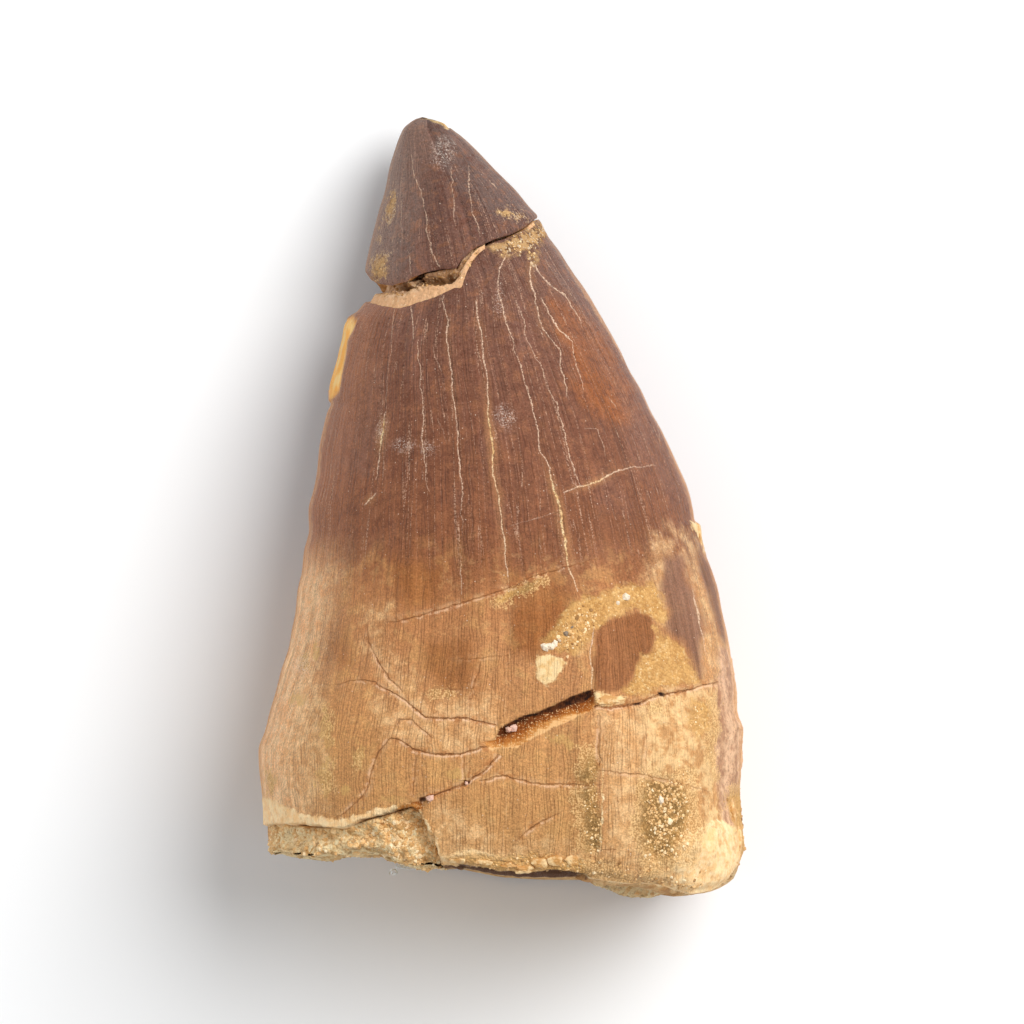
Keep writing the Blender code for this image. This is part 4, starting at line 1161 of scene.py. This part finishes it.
def enamel_material(name):
    n = Net(name)
    fan, fx, fy, fh = n.attr("fan")
    flat_, lx, ly, lz = n.attr("flat")
    _, sand, cream, porous = n.attr("mask_a")
    _, purple, orange, opened = n.attr("mask_b")
    _, notch, olive, white = n.attr("mask_c")
    _, red, wall, hole = n.attr("mask_d")
    _, p1, p2, p1w = n.attr("pale_d")
    _, d1, d2, d1w = n.attr("dark_d")
    _, p2w, d2w, rim = n.attr("line_w")
    _, light, brown, dust = n.attr("zone_a")
    _, sheen_zone, across, _ = n.attr("zone_b")
    fanv, flatv = fan.outputs["Vector"], flat_.outputs["Vector"]
    wide = n.noise(n.stretch(fanv, 1.0, 0.5, 0.0), 0.16, 3, 0.55)          # slow changes of tone
    blot = n.noise(flatv, 0.55, 4, 0.62)                                    # blotches
    mid = n.noise(flatv, 1.35, 3, 0.65)                                     # mottling
    streak = n.noise(n.stretch(fanv, 1.0, 0.045, 0.0), 0.85, 4, 0.6)        # streaks down the crown
    hair = n.noise(n.stretch(fanv, 1.0, 0.060, 0.0), 2.6, 2.0, 0.6)         # enamel ridges
    fine = n.noise(flatv, 4.5, 4, 0.7)
    speck = n.noise(flatv, 9.0, 2, 0.6)
    warp = n.noise(flatv, 1.8, 3, 0.6)

    def centred(x, k):
        return n.m("MULTIPLY", n.m("SUBTRACT", x, 0.5), k)

    def grey(x):
        return n.node("ShaderNodeCombineXYZ", {0: x, 1: x, 2: x}).outputs[0]

    def contour(x, level, thin):
        """Thin lines where a noise crosses a level."""
        return n.smooth(n.m("ABSOLUTE", n.m("SUBTRACT", x, level)), thin, thin * 0.25)

    # enamel furrows: thin dark lines side by side down the crown, each broken into dashes
    bend = n.noise(n.stretch(fanv, 0.55, 0.16, 0.0), 1.0, 2.0, 0.55)
    sway = centred(n.noise(n.stretch(fanv, 1.0, 0.30, 0.0), 1.6, 1.0, 0.5), 1.5)

    def furrows(freq, seed_shift, lo, hi, wave):
        phase = n.m("ADD", n.m("MULTIPLY", fx, freq), n.m("ADD", centred(bend, wave), seed_shift))
        phase = n.m("ADD", phase, sway)
        tri = n.m("ABSOLUTE", n.m("MULTIPLY", n.m("SUBTRACT", n.m("FRACT", phase), 0.5), 2.0))
        dash = n.smooth(n.noise(n.stretch(fanv, 1.0, 0.17, 0.5), freq * 0.62, 1.5, 0.55), lo, hi)
        return n.m("MULTIPLY", n.smooth(tri, 0.46, 0.06), dash)

    low_part = n.smooth(fh, 0.56, 0.66)
    top_part = n.smooth(fh, 0.26, 0.18)
    fur_low = furrows(5.0, 0.0, 0.34, 0.58, 5.0)
    fur_mid = furrows(2.75, 3.3, 0.44, 0.62, 4.0)
    fur_top = furrows(1.45, 7.1, 0.46, 0.64, 2.0)
    fur = n.mixf(low_part, n.mixf(top_part, fur_mid, fur_top), fur_low)

    # height along the crown, with an uneven edge between the dark and the tan part
    h = n.m("ADD", fh, centred(wide, 0.10))
    h = n.m("ADD", h, centred(streak, 0.09))
    h = n.m("ADD", h, centred(blot, 0.07))
    base = n.ramp(h, (
        (0.00, (0.137, 0.067, 0.050)), (0.12, (0.144, 0.069, 0.051)), (0.20, (0.174, 0.079, 0.053)), (0.30, (0.200, 0.081, 0.048)),
        (0.45, (0.226, 0.084, 0.041)), (0.54, (0.252, 0.091, 0.039)), (0.58, (0.310, 0.116, 0.044)), (0.625, (0.46, 0.192, 0.071)), (0.70, (0.535, 0.242, 0.094)),
        (0.80, (0.595, 0.285, 0.103)), (0.92, (0.60, 0.300, 0.108)), (1.0, (0.65, 0.355, 0.145))))
    upper = n.smooth(fh, 0.60, 0.52)
    lower = n.m("SUBTRACT", 1.0, upper)
    # redder on the right of the dark part and in a patch below it
    warm = n.smooth(n.m("ADD", red, centred(blot, 34.0)), -9.0, 9.0)
    base = n.mix(n.m("MULTIPLY", warm, 0.85), base, n.mix(upper, (0.33, 0.108, 0.026), (0.335, 0.105, 0.030)))
    # painted sheen: greyer colour in the sheen patches stands in for soft reflections on the tip and upper left
    sheen_m = n.smooth(n.m("ADD", sheen_zone, centred(blot, 26.0)), -9.0, 8.0)
    base = n.mix(n.m("MULTIPLY", sheen_m, 0.75), base, n.mix(top_part, (0.235, 0.108, 0.068), (0.148, 0.093, 0.078)))
    # grey and red blotches in the dark part
    base = n.mix(n.m("MULTIPLY", n.m("MULTIPLY", n.smooth(wide, 0.50, 0.64), upper), 0.40), base, (0.240, 0.118, 0.086))
    base = n.mix(n.m("MULTIPLY", n.m("MULTIPLY", n.smooth(mid, 0.50, 0.66), upper), 0.50), base, (0.31, 0.122, 0.055))
    base = n.mix(n.m("MULTIPLY", n.m("MULTIPLY", n.smooth(mid, 0.49, 0.36), upper), 0.50), base, (0.150, 0.050, 0.026))
    # painted light: the left side made paler, pinkish near its edge, standing in for light falling on that side
    left_painted_light = n.smooth(n.m("ABSOLUTE", rim), 62.0, 6.0)
    left_painted_light = n.m("MULTIPLY", left_painted_light, n.m("GREATER_THAN", rim, 0.0))
    # yellower and browner pools in the tan part
    base = n.mix(n.m("MULTIPLY", n.m("MULTIPLY", n.smooth(blot, 0.50, 0.64), lower), 0.32), base, (0.68, 0.38, 0.135))
    base = n.mix(n.m("MULTIPLY", n.m("MULTIPLY", n.smooth(mid, 0.47, 0.34), lower), 0.22), base, (0.42, 0.185, 0.062))
    base = n.mix(n.m("MULTIPLY", n.m("MULTIPLY", n.smooth(mid, 0.54, 0.66), lower), 0.22), base, (0.76, 0.46, 0.19))
    # drawn light and brown areas, with torn soft edges
    tear = n.m("ADD", centred(blot, 22.0), n.m("ADD", centred(mid, 16.0), centred(fine, 8.0)))
    lz_ = n.smooth(n.m("ADD", light, tear), -12.0, 11.0)
    bz_ = n.smooth(n.m("ADD", brown, tear), -12.0, 11.0)
    base = n.mix(n.m("MULTIPLY", bz_, 0.74), base, n.mix(upper, n.mix(streak, (0.28, 0.088, 0.020), (0.40, 0.155, 0.044)), (0.230, 0.082, 0.034)))
    base = n.mix(n.m("MULTIPLY", lz_, 0.60), base, n.mix(n.smooth(mid, 0.38, 0.64), (0.68, 0.370, 0.155), (0.93, 0.60, 0.30)))
    base = n.mix(n.m("MULTIPLY", left_painted_light, n.m("MULTIPLY_ADD", lower, 0.50, 0.40)), base, n.mix(upper, n.mix(n.smooth(mid, 0.34, 0.64), (0.90, 0.47, 0.215), (0.98, 0.63, 0.34)), n.mix(top_part, (0.56, 0.205, 0.082), (0.42, 0.27, 0.205))))
    # golden halo round the thick mineral-filled cracks
    halo = n.m("MAXIMUM", n.m("MULTIPLY", n.smooth(n.m("ABSOLUTE", p1), 8.5, 1.0), n.smooth(p1w, 0.9, 2.0)),
               n.m("MULTIPLY", n.smooth(n.m("ABSOLUTE", p2), 8.5, 1.0), n.smooth(p2w, 0.9, 2.0)))
    base = n.mix(n.m("MULTIPLY", halo, 0.48), base, (0.50, 0.235, 0.095))
    # streaks, ridges and grain
    k = n.m("ADD", 0.925, centred(streak, 0.60))
    k = n.m("ADD", k, centred(hair, 0.50))
    k = n.m("ADD", k, centred(fine, 0.95))
    k = n.m("ADD", k, centred(speck, 0.75))
    base = n.mix(1.0, base, grey(k), "MULTIPLY")
    # furrows
    fs = n.m("MULTIPLY", fur, n.mixf(low_part, n.mixf(top_part, 0.34, 0.24), n.mixf(n.m("MAXIMUM", lz_, left_painted_light), 0.34, 0.42)))
    base = n.mix(fs, base, n.mix(upper, (0.245, 0.088, 0.030), (0.085, 0.030, 0.018)))
    # pale hairlines down the dark part
    hl = n.m("MAXIMUM", contour(n.noise(n.stretch(fanv, 1.0, 0.028, 0.0), 0.95, 1.5, 0.5), 0.50, 0.008),
             contour(n.noise(n.stretch(fanv, 1.0, 0.034, 0.3), 1.5, 1.0, 0.5), 0.46, 0.009))
    hl = n.m("MULTIPLY", hl, n.smooth(speck, 0.44, 0.62))
    hl = n.m("MULTIPLY", hl, n.m("MULTIPLY_ADD", upper, 0.62, 0.05))
    base = n.mix(hl, base, (0.58, 0.37, 0.25))
    # faint dark growth lines across it
    gl = n.m("MULTIPLY", contour(n.noise(n.stretch(flatv, 0.22, 1.0, 1.0), 1.25, 2.5, 0.6), 0.50, 0.014), n.smooth(fine, 0.44, 0.56))
    base = n.mix(n.m("MULTIPLY", gl, n.m("MULTIPLY_ADD", upper, 0.32, 0.12)), base, (0.13, 0.045, 0.02))
    # olive stains
    ol = n.smooth(n.m("ADD", olive, centred(warp, 22.0)), -1.5, 3.0)
    base = n.mix(n.m("MULTIPLY", ol, n.smooth(fine, 0.35, 0.6, 0.25, 0.65)), base, (0.62, 0.375, 0.125))
    # purple-brown enamel patches on the lower right
    jag = centred(fine, 8.0)
    band = n.smooth(lx, 42.1, 42.7)
    pu = n.smooth(n.m("ADD", purple, n.m("ADD", jag, centred(mid, 8.0))), n.mixf(band, -2.5, -6.0), n.mixf(band, 2.5, 6.0))
    pcol = n.mix(band, n.mix(n.smooth(streak, 0.35, 0.65), (0.270, 0.092, 0.027), (0.335, 0.128, 0.046)), n.mix(n.smooth(streak, 0.35, 0.65), (0.215, 0.094, 0.052), (0.290, 0.145, 0.090)))
    base = n.mix(n.m("MULTIPLY", pu, 0.90), base, n.mix(1.0, pcol, grey(k), "MULTIPLY"))
    base = n.mix(n.m("MULTIPLY", n.m("MULTIPLY", pu, fur_low), 0.35), base, (0.16, 0.055, 0.022))
    # cream porous dentine
    pj = n.m("ADD", porous, n.m("ADD", centred(blot, 30.0), centred(warp, 16.0)))
    po = n.smooth(pj, -8.0, 9.0)
    pc = n.mix(n.smooth(n.m("ADD", warp, centred(blot, 0.8)), 0.38, 0.62), (0.56, 0.28, 0.105), (0.85, 0.56, 0.27))
    pore = n.smooth(n.cells(flatv, 2.9), 0.15, 0.05)
    pc = n.mix(n.m("MULTIPLY", pore, n.smooth(warp, 0.45, 0.6)), pc, (0.34, 0.17, 0.06))
    pc = n.mix(1.0, pc, grey(n.m("ADD", 1.0, n.m("ADD", centred(fine, 0.9), centred(hair, 0.3)))), "MULTIPLY")
    base = n.mix(n.m("MULTIPLY", po, 0.74), base, pc)
    # side wall on the right, pinkish
    wa = n.smooth(n.m("ADD", wall, jag), -2.0, 5.0)
    wcol = n.mix(n.smooth(n.m("ADD", streak, centred(warp, 0.6)), 0.34, 0.62), (0.40, 0.205, 0.125), (0.79, 0.49, 0.31))
    wcol = n.mix(n.m("MULTIPLY", n.smooth(fine, 0.48, 0.36), 0.60), wcol, (0.29, 0.150, 0.095))
    base = n.mix(n.m("MULTIPLY", wa, 0.8), base, wcol)
    # pale rim along the keels: partly worn enamel, partly a painted highlight where the edges catch the light
    rw = n.m("ADD", n.m("ABSOLUTE", rim), centred(warp, 6.0))
    rim_wear_and_highlight = n.m("MULTIPLY", n.smooth(rw, 3.8, 0.6), n.smooth(fh, 0.15, 0.30, 0.26, 0.70))
    base = n.mix(rim_wear_and_highlight, base, n.mix(n.smooth(n.m("ADD", streak, centred(fine, 0.3)), 0.36, 0.64), (0.50, 0.215, 0.080), (0.76, 0.43, 0.215)))
    # golden edge: a painted glow, bright colour standing in for light shining through the thin translucent enamel
    edge_glow_m = n.smooth(n.m("ADD", orange, n.m("ADD", centred(warp, 2.0), n.m("MULTIPLY", jag, 0.10))), -0.8, 0.8)
    edge_glow_col = n.mix(n.smooth(n.noise(n.stretch(flatv, 1.0, 0.4, 0.6), 1.3, 2, 0.5), 0.40, 0.62), (0.98, 0.46, 0.075), (0.99, 0.66, 0.25))
    base = n.mix(edge_glow_m, base, n.mix(n.smooth(n.m("ADD", orange, n.m("MULTIPLY", jag, 0.3)), 2.2, 0.0), edge_glow_col, (0.66, 0.29, 0.07)))
    # cream enamel chips; near the foot the cream is painted brighter, a painted light on that edge
    cr = n.smooth(n.m("ADD", cream, n.m("ADD", centred(warp, 9.0), n.m("MULTIPLY", jag, 0.6))), -1.0, 1.6)
    foot_c = n.smooth(fh, 0.84, 0.90)
    cc = n.mix(n.smooth(warp, 0.35, 0.65), n.mix(foot_c, (0.72, 0.44, 0.175), (0.92, 0.56, 0.25)), n.mix(foot_c, (0.87, 0.63, 0.33), (0.98, 0.72, 0.405)))
    cc = n.mix(n.m("MULTIPLY", n.m("MULTIPLY", foot_c, n.smooth(mid, 0.46, 0.34)), 0.55), cc, (0.60, 0.31, 0.12))
    cc = n.mix(1.0, cc, grey(n.m("ADD", 1.0, centred(fine, 0.6))), "MULTIPLY")
    base = n.mix(cr, base, cc)
    # thin ochre dust, broken up, with brighter crumbs
    dj = n.m("ADD", dust, n.m("ADD", centred(warp, 18.0), centred(fine, 26.0)))
    du = n.smooth(dj, 0.5, 5.0)
    dcol = n.mix(n.smooth(speck, 0.42, 0.60), (0.45, 0.235, 0.080), n.mix(top_part, (0.87, 0.57, 0.26), (0.74, 0.55, 0.36)))
    base = n.mix(n.m("MULTIPLY", du, 0.62), base, dcol)
    # sandy matrix
    sj = n.m("ADD", sand, n.m("ADD", centred(warp, 15.0), centred(blot, 10.0)))
    sa = n.smooth(n.m("ADD", sj, jag), -3.5, 4.5)
    grain_d = n.node("ShaderNodeTexVoronoi", {"Vector": flatv, "Scale": 6.5}, feature="F1")
    gs_ = n.node("ShaderNodeSeparateColor", {0: grain_d.outputs["Color"]}).outputs[0]
    gr_d = grain_d.outputs["Distance"]
    sc_ = n.ramp(gs_, ((0.0, (0.39, 0.178, 0.047)), (0.16, (0.53, 0.26, 0.070)), (0.55, (0.665, 0.352, 0.104)), (0.85, (0.77, 0.465, 0.168)), (1.0, (0.88, 0.66, 0.35))))
    sc_ = n.mix(n.smooth(blot, 0.42, 0.58, 0.25, 0.60), sc_, (0.74, 0.425, 0.158))
    # painted shade: darker in the gaps between the sand grains
    sc_ = n.mix(n.m("MULTIPLY", n.smooth(gr_d, 0.42, 0.75), 0.22), sc_, (0.36, 0.17, 0.05))
    sc_ = n.mix(n.m("MULTIPLY", n.smooth(mid, 0.54, 0.38), 0.50), sc_, (0.46, 0.225, 0.070))
    sc_ = n.mix(n.m("MULTIPLY", bz_, n.smooth(fine, 0.36, 0.52, 0.92, 0.55)), sc_, (0.215, 0.120, 0.040))
    sc_ = n.mix(n.m("MULTIPLY", top_part, 0.60), sc_, n.mix(n.smooth(warp, 0.42, 0.56), (0.29, 0.155, 0.066), (0.51, 0.325, 0.165)))
    sa = n.m("MULTIPLY", sa, n.m("SUBTRACT", 1.0, n.m("MULTIPLY", top_part, n.smooth(n.m("ADD", warp, centred(fine, 0.5)), 0.47, 0.38, 0.0, 0.75))))
    base = n.mix(n.m("MULTIPLY", sa, 0.90), base, sc_)
    # olive-brown dirt between the grains at the lower right
    st = n.m("MULTIPLY", n.smooth(n.m("ADD", brown, tear), -9.0, 8.0), n.smooth(fh, 0.82, 0.85))
    st = n.m("MULTIPLY", st, n.smooth(n.m("ADD", fine, centred(warp, 1.4)), 0.62, 0.38, 0.05, 0.80))
    base = n.mix(st, base, (0.230, 0.128, 0.042))
    # white curls and specks of mineral
    curl = n.m("MAXIMUM", contour(n.noise(flatv, 2.6, 2, 0.6, 1.6), 0.50, 0.026), n.smooth(speck, 0.60, 0.67))
    ws = n.m("MULTIPLY", n.smooth(n.m("ADD", white, n.m("MULTIPLY", jag, 1.6)), -4.0, 6.0), curl)
    base = n.mix(n.m("MULTIPLY", ws, 0.62), base, (0.78, 0.66, 0.56))
    loose = n.m("MULTIPLY", n.smooth(n.cells(flatv, 1.9), 0.080, 0.045), n.smooth(warp, 0.45, 0.54))
    base = n.mix(n.m("MULTIPLY", loose, 0.75), base, (0.88, 0.72, 0.56))

    # mineral-filled cracks; their width wavers
    waver = n.m("ADD", 0.05, n.m("MULTIPLY", warp, 0.85))
    shift = n.m("ADD", centred(fine, 3.2), centred(n.noise(flatv, 2.4, 1.0, 0.5), 2.4))

    def line(d, w, soft=0.6):
        dist = n.m("ABSOLUTE", n.m("ADD", d, shift))
        width = n.m("MULTIPLY", w, waver)
        fade = n.smooth(w, 0.05, 1.2)
        core = n.m("DIVIDE", n.m("SUBTRACT", dist, n.m("MULTIPLY", width, 0.40)), n.m("ADD", n.m("MULTIPLY", width, 0.50), soft - 0.15))
        return n.m("MULTIPLY", n.m("SUBTRACT", 1.0, core, clamp=True), fade)

    pale = n.m("MAXIMUM", line(p1, p1w, 0.45), line(p2, p2w, 0.45))
    broken = n.smooth(speck, 0.42, 0.56)
    pale = n.m("MULTIPLY", pale, n.m("MULTIPLY_ADD", broken, 0.70, 0.30))
    thick = n.m("MAXIMUM", n.smooth(p1w, 1.2, 2.0), n.smooth(p2w, 1.2, 2.0))
    base = n.mix(pale, base, n.mix(thick, (0.74, 0.52, 0.37), n.mix(n.smooth(warp, 0.4, 0.65), (0.74, 0.46, 0.20), (0.93, 0.72, 0.42))))
    dark = n.m("MAXIMUM", line(d1, d1w), line(d2, d2w))
    # a soft pale flank and a ruddy stain beside the dark cracks
    near1 = n.m("MULTIPLY", n.smooth(n.m("ADD", n.m("ABSOLUTE", d1), centred(mid, 8.0)), 7.0, 1.0), n.smooth(d1w, 0.3, 1.2))
    near2 = n.m("MULTIPLY", n.smooth(n.m("ADD", n.m("ABSOLUTE", d2), centred(mid, 8.0)), 7.0, 1.0), n.smooth(d2w, 0.3, 1.2))
    near = n.m("MAXIMUM", near1, near2)
    base = n.mix(n.m("MULTIPLY", n.m("MULTIPLY", near, n.smooth(warp, 0.44, 0.60)), 0.40), base, (0.82, 0.50, 0.27))
    base = n.mix(n.m("MULTIPLY", n.m("MULTIPLY", near, n.smooth(warp, 0.54, 0.42)), 0.45), base, (0.46, 0.160, 0.050))
    # painted highlight: a pale line along the lower lip of each dark crack, as if lit from above
    lit_lip_highlight = n.m("MAXIMUM", n.m("MULTIPLY", n.smooth(n.m("ABSOLUTE", n.m("SUBTRACT", n.m("ADD", d1, shift), 1.9)), 1.5, 0.3), n.smooth(d1w, 0.5, 1.1)),
               n.m("MULTIPLY", n.smooth(n.m("ABSOLUTE", n.m("SUBTRACT", n.m("ADD", d2, shift), 1.9)), 1.5, 0.3), n.smooth(d2w, 0.5, 1.1)))
    base = n.mix(n.m("MULTIPLY", n.m("MULTIPLY", lit_lip_highlight, n.smooth(warp, 0.40, 0.56)), 0.60), base, (0.92, 0.57, 0.36))
    base = n.mix(n.m("MULTIPLY", dark, n.smooth(speck, 0.38, 0.56, 0.30, 0.90)), base, n.mix(n.smooth(warp, 0.40, 0.60), (0.150, 0.045, 0.014), (0.40, 0.150, 0.050)))
    # broken wall round the corner notch
    nm = n.smooth(n.m("ADD", notch, n.m("MULTIPLY", jag, 0.4)), -1.2, 1.0)
    base = n.mix(nm, base, n.mix(warp, (0.74, 0.46, 0.26), (0.90, 0.66, 0.42)))
    # bottom of the open crack: amber and rust below, then painted shade darkening it to nearly black under the upper
    # lip
    om = n.smooth(n.m("ADD", opened, n.m("MULTIPLY", jag, 0.5)), -1.2, 0.8)
    ac = n.m("ADD", across, centred(n.noise(n.stretch(flatv, 0.6, 1.6, 1.0), 1.7, 3, 0.6), 1.1))
    amber = n.ramp(ac, ((0.0, (0.100, 0.027, 0.007)), (0.25, (0.185, 0.048, 0.010)), (0.46, (0.32, 0.092, 0.016)), (0.66, (0.46, 0.160, 0.032)), (0.86, (0.62, 0.27, 0.075)), (1.0, (0.82, 0.47, 0.20))))
    amber = n.mix(n.smooth(speck, 0.57, 0.66), amber, (0.80, 0.50, 0.24))
    base = n.mix(om, base, amber)
    # painted shade: near-black colour in the crack's deepest slit and small pits, dark brown in the hollow under the
    # foot
    hole_shade_m = n.smooth(n.m("ADD", hole, n.m("MULTIPLY", jag, 0.5)), -0.9, 1.0)
    base = n.mix(hole_shade_m, base, n.mix(n.smooth(fh, 0.94, 0.97), n.mix(n.smooth(warp, 0.42, 0.60), (0.026, 0.010, 0.006), (0.115, 0.036, 0.012)), (0.135, 0.062, 0.032)))
    rough = n.mixf(n.smooth(fh, 0.25, 0.75), 0.33, 0.50)
    rough = n.m("ADD", rough, centred(fine, 0.45))
    matt = n.m("MAXIMUM", n.m("MAXIMUM", sa, n.m("MULTIPLY", po, 0.7)), n.m("MAXIMUM", n.m("MAXIMUM", pale, du), n.m("MAXIMUM", nm, om)))
    rough = n.mixf(matt, rough, 0.85)
    # relief: ridges, cracks and grit
    hgt = n.m("SUBTRACT", n.m("MULTIPLY", hair, 0.8), n.m("MULTIPLY", fur, 0.22))
    hgt = n.m("ADD", hgt, n.m("MULTIPLY", fine, 0.60))
    hgt = n.m("SUBTRACT", hgt, n.m("MULTIPLY", dark, 0.40))
    hgt = n.m("MULTIPLY", hgt, n.m("SUBTRACT", 1.0, n.m("MULTIPLY", sa, 0.6)))
    hgt = n.m("SUBTRACT", hgt, n.m("MULTIPLY", sa, n.m("MULTIPLY", gr_d, 0.7)))
    return n.finish(base, rough, hgt, distance=0.00013, strength=1.0, **{"Specular IOR Level": 0.13})


crown_mat = enamel_material("crown_enamel_material")
tip_mat = crown_mat


def sandy_material(name, dark, mid, light, scale, shade_from_shallow_depth=True, ledge_tone=None):
    n = Net(name)
    at, dep, ax, ay = n.attr("depth")
    co = n.node("ShaderNodeTexCoord").outputs["Object"]
    co = n.stretch(co, 1000.0, 1000.0, 1000.0)
    cellc = n.node("ShaderNodeSeparateColor", {0: n.cells(co, scale, out="Color")}).outputs[0]
    col = n.ramp(cellc, ((0.0, dark), (0.45, mid), (1.0, light)))
    big = n.noise(co, 0.9, 4, 0.6)
    col = n.mix(n.smooth(big, 0.40, 0.64, 0.0, 0.6), col, light)
    small = n.noise(co, 7.0, 3, 0.6)
    col = n.mix(n.smooth(small, 0.58, 0.35, 0.0, 0.45), col, dark)
    col = n.mix(n.smooth(n.noise(co, 1.5, 3, 0.65), 0.44, 0.35, 0.0, 0.55), col, (0.30, 0.135, 0.045))
    # painted shade: darker where the surface is sunk deep, in recesses and caves
    col = n.mix(n.m("MULTIPLY", n.smooth(dep, 0.75, 1.5), 0.75) if shade_from_shallow_depth else n.m("MULTIPLY", n.smooth(dep, 1.5, 2.2), 0.6), col, (0.20, 0.085, 0.022))
    if ledge_tone:
        col = n.mix(n.m("MULTIPLY", n.smooth(ax, 0.50, 0.66), n.smooth(small, 0.30, 0.55, 0.45, 0.85)), col, ledge_tone)
        col = n.mix(n.smooth(n.noise(co, 2.6, 4, 0.7), 0.56, 0.68, 0.0, 0.60), col, (0.56, 0.27, 0.10))
        col = n.mix(n.smooth(n.noise(n.stretch(co, 1.0, 1.0, 1.3), 3.3, 3, 0.6), 0.60, 0.70, 0.0, 0.70), col, (0.90, 0.66, 0.40))
    hgt = n.m("SUBTRACT", n.m("MULTIPLY", small, 1.0), n.m("MULTIPLY", n.cells(co, scale), 0.7))
    return n.finish(col, 0.88, hgt, distance=0.00016, strength=1.0, **{"Specular IOR Level": 0.3})


cement_mat = sandy_material("break_cement_material", (0.50, 0.255, 0.105), (0.74, 0.45, 0.235), (0.88, 0.60, 0.38), 3.4, True, (0.80, 0.445, 0.225))
sediment_mat = sandy_material("root_sediment_material", (0.58, 0.30, 0.095), (0.96, 0.64, 0.29), (1.0, 0.83, 0.50), 3.0, False)

n = Net("sand_grain_material")
tone = n.value_attr("tone")
co = n.stretch(n.node("ShaderNodeTexCoord").outputs["Object"], 1000.0, 1000.0, 1000.0)
col = n.ramp(tone, ((0.0, (0.28, 0.130, 0.034)), (0.22, (0.50, 0.265, 0.085)), (0.55, (0.72, 0.425, 0.165)), (0.85, (0.88, 0.58, 0.27)), (1.0, (0.96, 0.78, 0.50))))
col = n.mix(n.smooth(tone, 1.6, 1.9), col, (0.80, 0.50, 0.38))
col = n.mix(n.smooth(tone, 2.1, 2.3), col, (0.86, 0.72, 0.54))
col = n.mix(n.smooth(tone, 2.36, 2.46), col, (0.62, 0.46, 0.30))
col = n.mix(n.smooth(tone, 2.7, 2.9), col, (0.26, 0.19, 0.13))
mott = n.noise(co, 8.0, 3, 0.6)
kk = n.m("MULTIPLY_ADD", mott, 0.7, 0.65)
col = n.mix(1.0, col, n.node("ShaderNodeCombineXYZ", {0: kk, 1: kk, 2: kk}).outputs[0], "MULTIPLY")
grain_mat = n.finish(col, n.mixf(mott, 0.45, 0.8), mott, distance=0.00005, **{"Specular IOR Level": 0.45})

n = Net("crust_chip_material")
co = n.stretch(n.node("ShaderNodeTexCoord").outputs["Object"], 1000.0, 1000.0, 1000.0)
a_ = n.noise(co, 1.6, 4, 0.65)
col = n.mix(n.smooth(a_, 0.40, 0.62), (0.58, 0.28, 0.075), (0.86, 0.60, 0.30))
chip_mat = n.finish(col, n.smooth(a_, 0.2, 0.8, 0.45, 0.7), n.noise(co, 5.0, 3, 0.6), distance=0.00006, **{"Specular IOR Level": 0.4})

n = Net("lint_material")
co = n.stretch(n.node("ShaderNodeTexCoord").outputs["Object"], 1000.0, 1000.0, 1000.0)
lint_mat = n.finish(n.mix(n.noise(co, 6.0, 2, 0.5), (0.70, 0.72, 0.70), (0.86, 0.87, 0.84)), n.smooth(n.noise(co, 9.0), 0.2, 0.8, 0.6, 0.8), n.noise(co, 20.0), distance=0.00002)

for ob, mat in ((crown, crown_mat), (tip, tip_mat), (cement, cement_mat), (sediment, sediment_mat), (grains, grain_mat), (chips, chip_mat), (fibre, lint_mat)):
    ob.data.materials.append(mat)
    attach(ob, "root")
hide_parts("crown_body")
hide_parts("crown_tip")
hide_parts("tip_break_cement")
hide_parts("base_sediment")

# =============================================================== floor, light, camera
floor_mesh = bpy.data.meshes.new("floor")
w_ = 3.0
floor_mesh.from_pydata([(-w_, -w_, 0), (w_, -w_, 0), (w_, w_, 0), (-w_, w_, 0)], [], [(0, 1, 2, 3)])
floor = bpy.data.objects.new("floor", floor_mesh)
floor.location = (0, 0, -0.00002)
bpy.context.scene.collection.objects.link(floor)
n = Net("floor_material")
co = n.node("ShaderNodeTexCoord").outputs["Object"]
fl = n.mix(n.noise(co, 6.0, 2, 0.5), (0.925, 0.925, 0.925), (0.935, 0.935, 0.935))
floor_mesh.materials.append(n.finish(fl, n.smooth(n.noise(co, 30.0), 0.0, 1.0, 0.9, 0.95), None, **{"Specular IOR Level": 0.0}))

world = bpy.data.worlds.new("soft_room")
bpy.context.scene.world = world
world.use_nodes = True
world.node_tree.nodes["Background"].inputs["Color"].default_value = (0.955, 0.98, 1.0, 1.0)
world.node_tree.nodes["Background"].inputs["Strength"].default_value = 0.445


def area(name, size, energy, at, target=(0.0, 0.0, 0.01), colour=(1, 1, 1)):
    data = bpy.data.lights.new(name, "AREA")
    data.shape = "DISK"
    data.size = size
    data.energy = energy
    data.color = colour
    ob = bpy.data.objects.new(name, data)
    bpy.context.scene.collection.objects.link(ob)
    ob.location = at
    d = [t_ - a_ for t_, a_ in zip(target, at)]
    length = math.sqrt(sum(v * v for v in d))
    d = [v / length for v in d]
    ob.rotation_euler = (math.acos(-d[2]), 0.0, math.atan2(d[1], d[0]) - math.pi / 2)
    return ob


area("key_softbox", 0.50, 4.54, (0.340, 0.262, 0.60))
area("low_key", 0.30, 0.78, (0.46, 0.33, 0.36))
area("left_fill", 0.36, 0.56, (-0.50, 0.05, 0.17))

cam_data = bpy.data.cameras.new("camera")
cam = bpy.data.objects.new("camera", cam_data)
bpy.context.scene.collection.objects.link(cam)
cam.location = (CX * MM, CY * MM, CAM_H * MM)
cam.rotation_euler = (0.0, 0.0, 0.0)
cam_data.sensor_width = 36.0
cam_data.lens = 36.0 * (CAM_H - REF_Z) / (1024 * S)
cam_data.clip_start = 0.01
cam_data.clip_end = 20.0
bpy.context.scene.camera = cam

view = bpy.context.scene.view_settings
view.view_transform = "Standard"
view.look = "None"
view.exposure = 0.0
view.gamma = 1.0
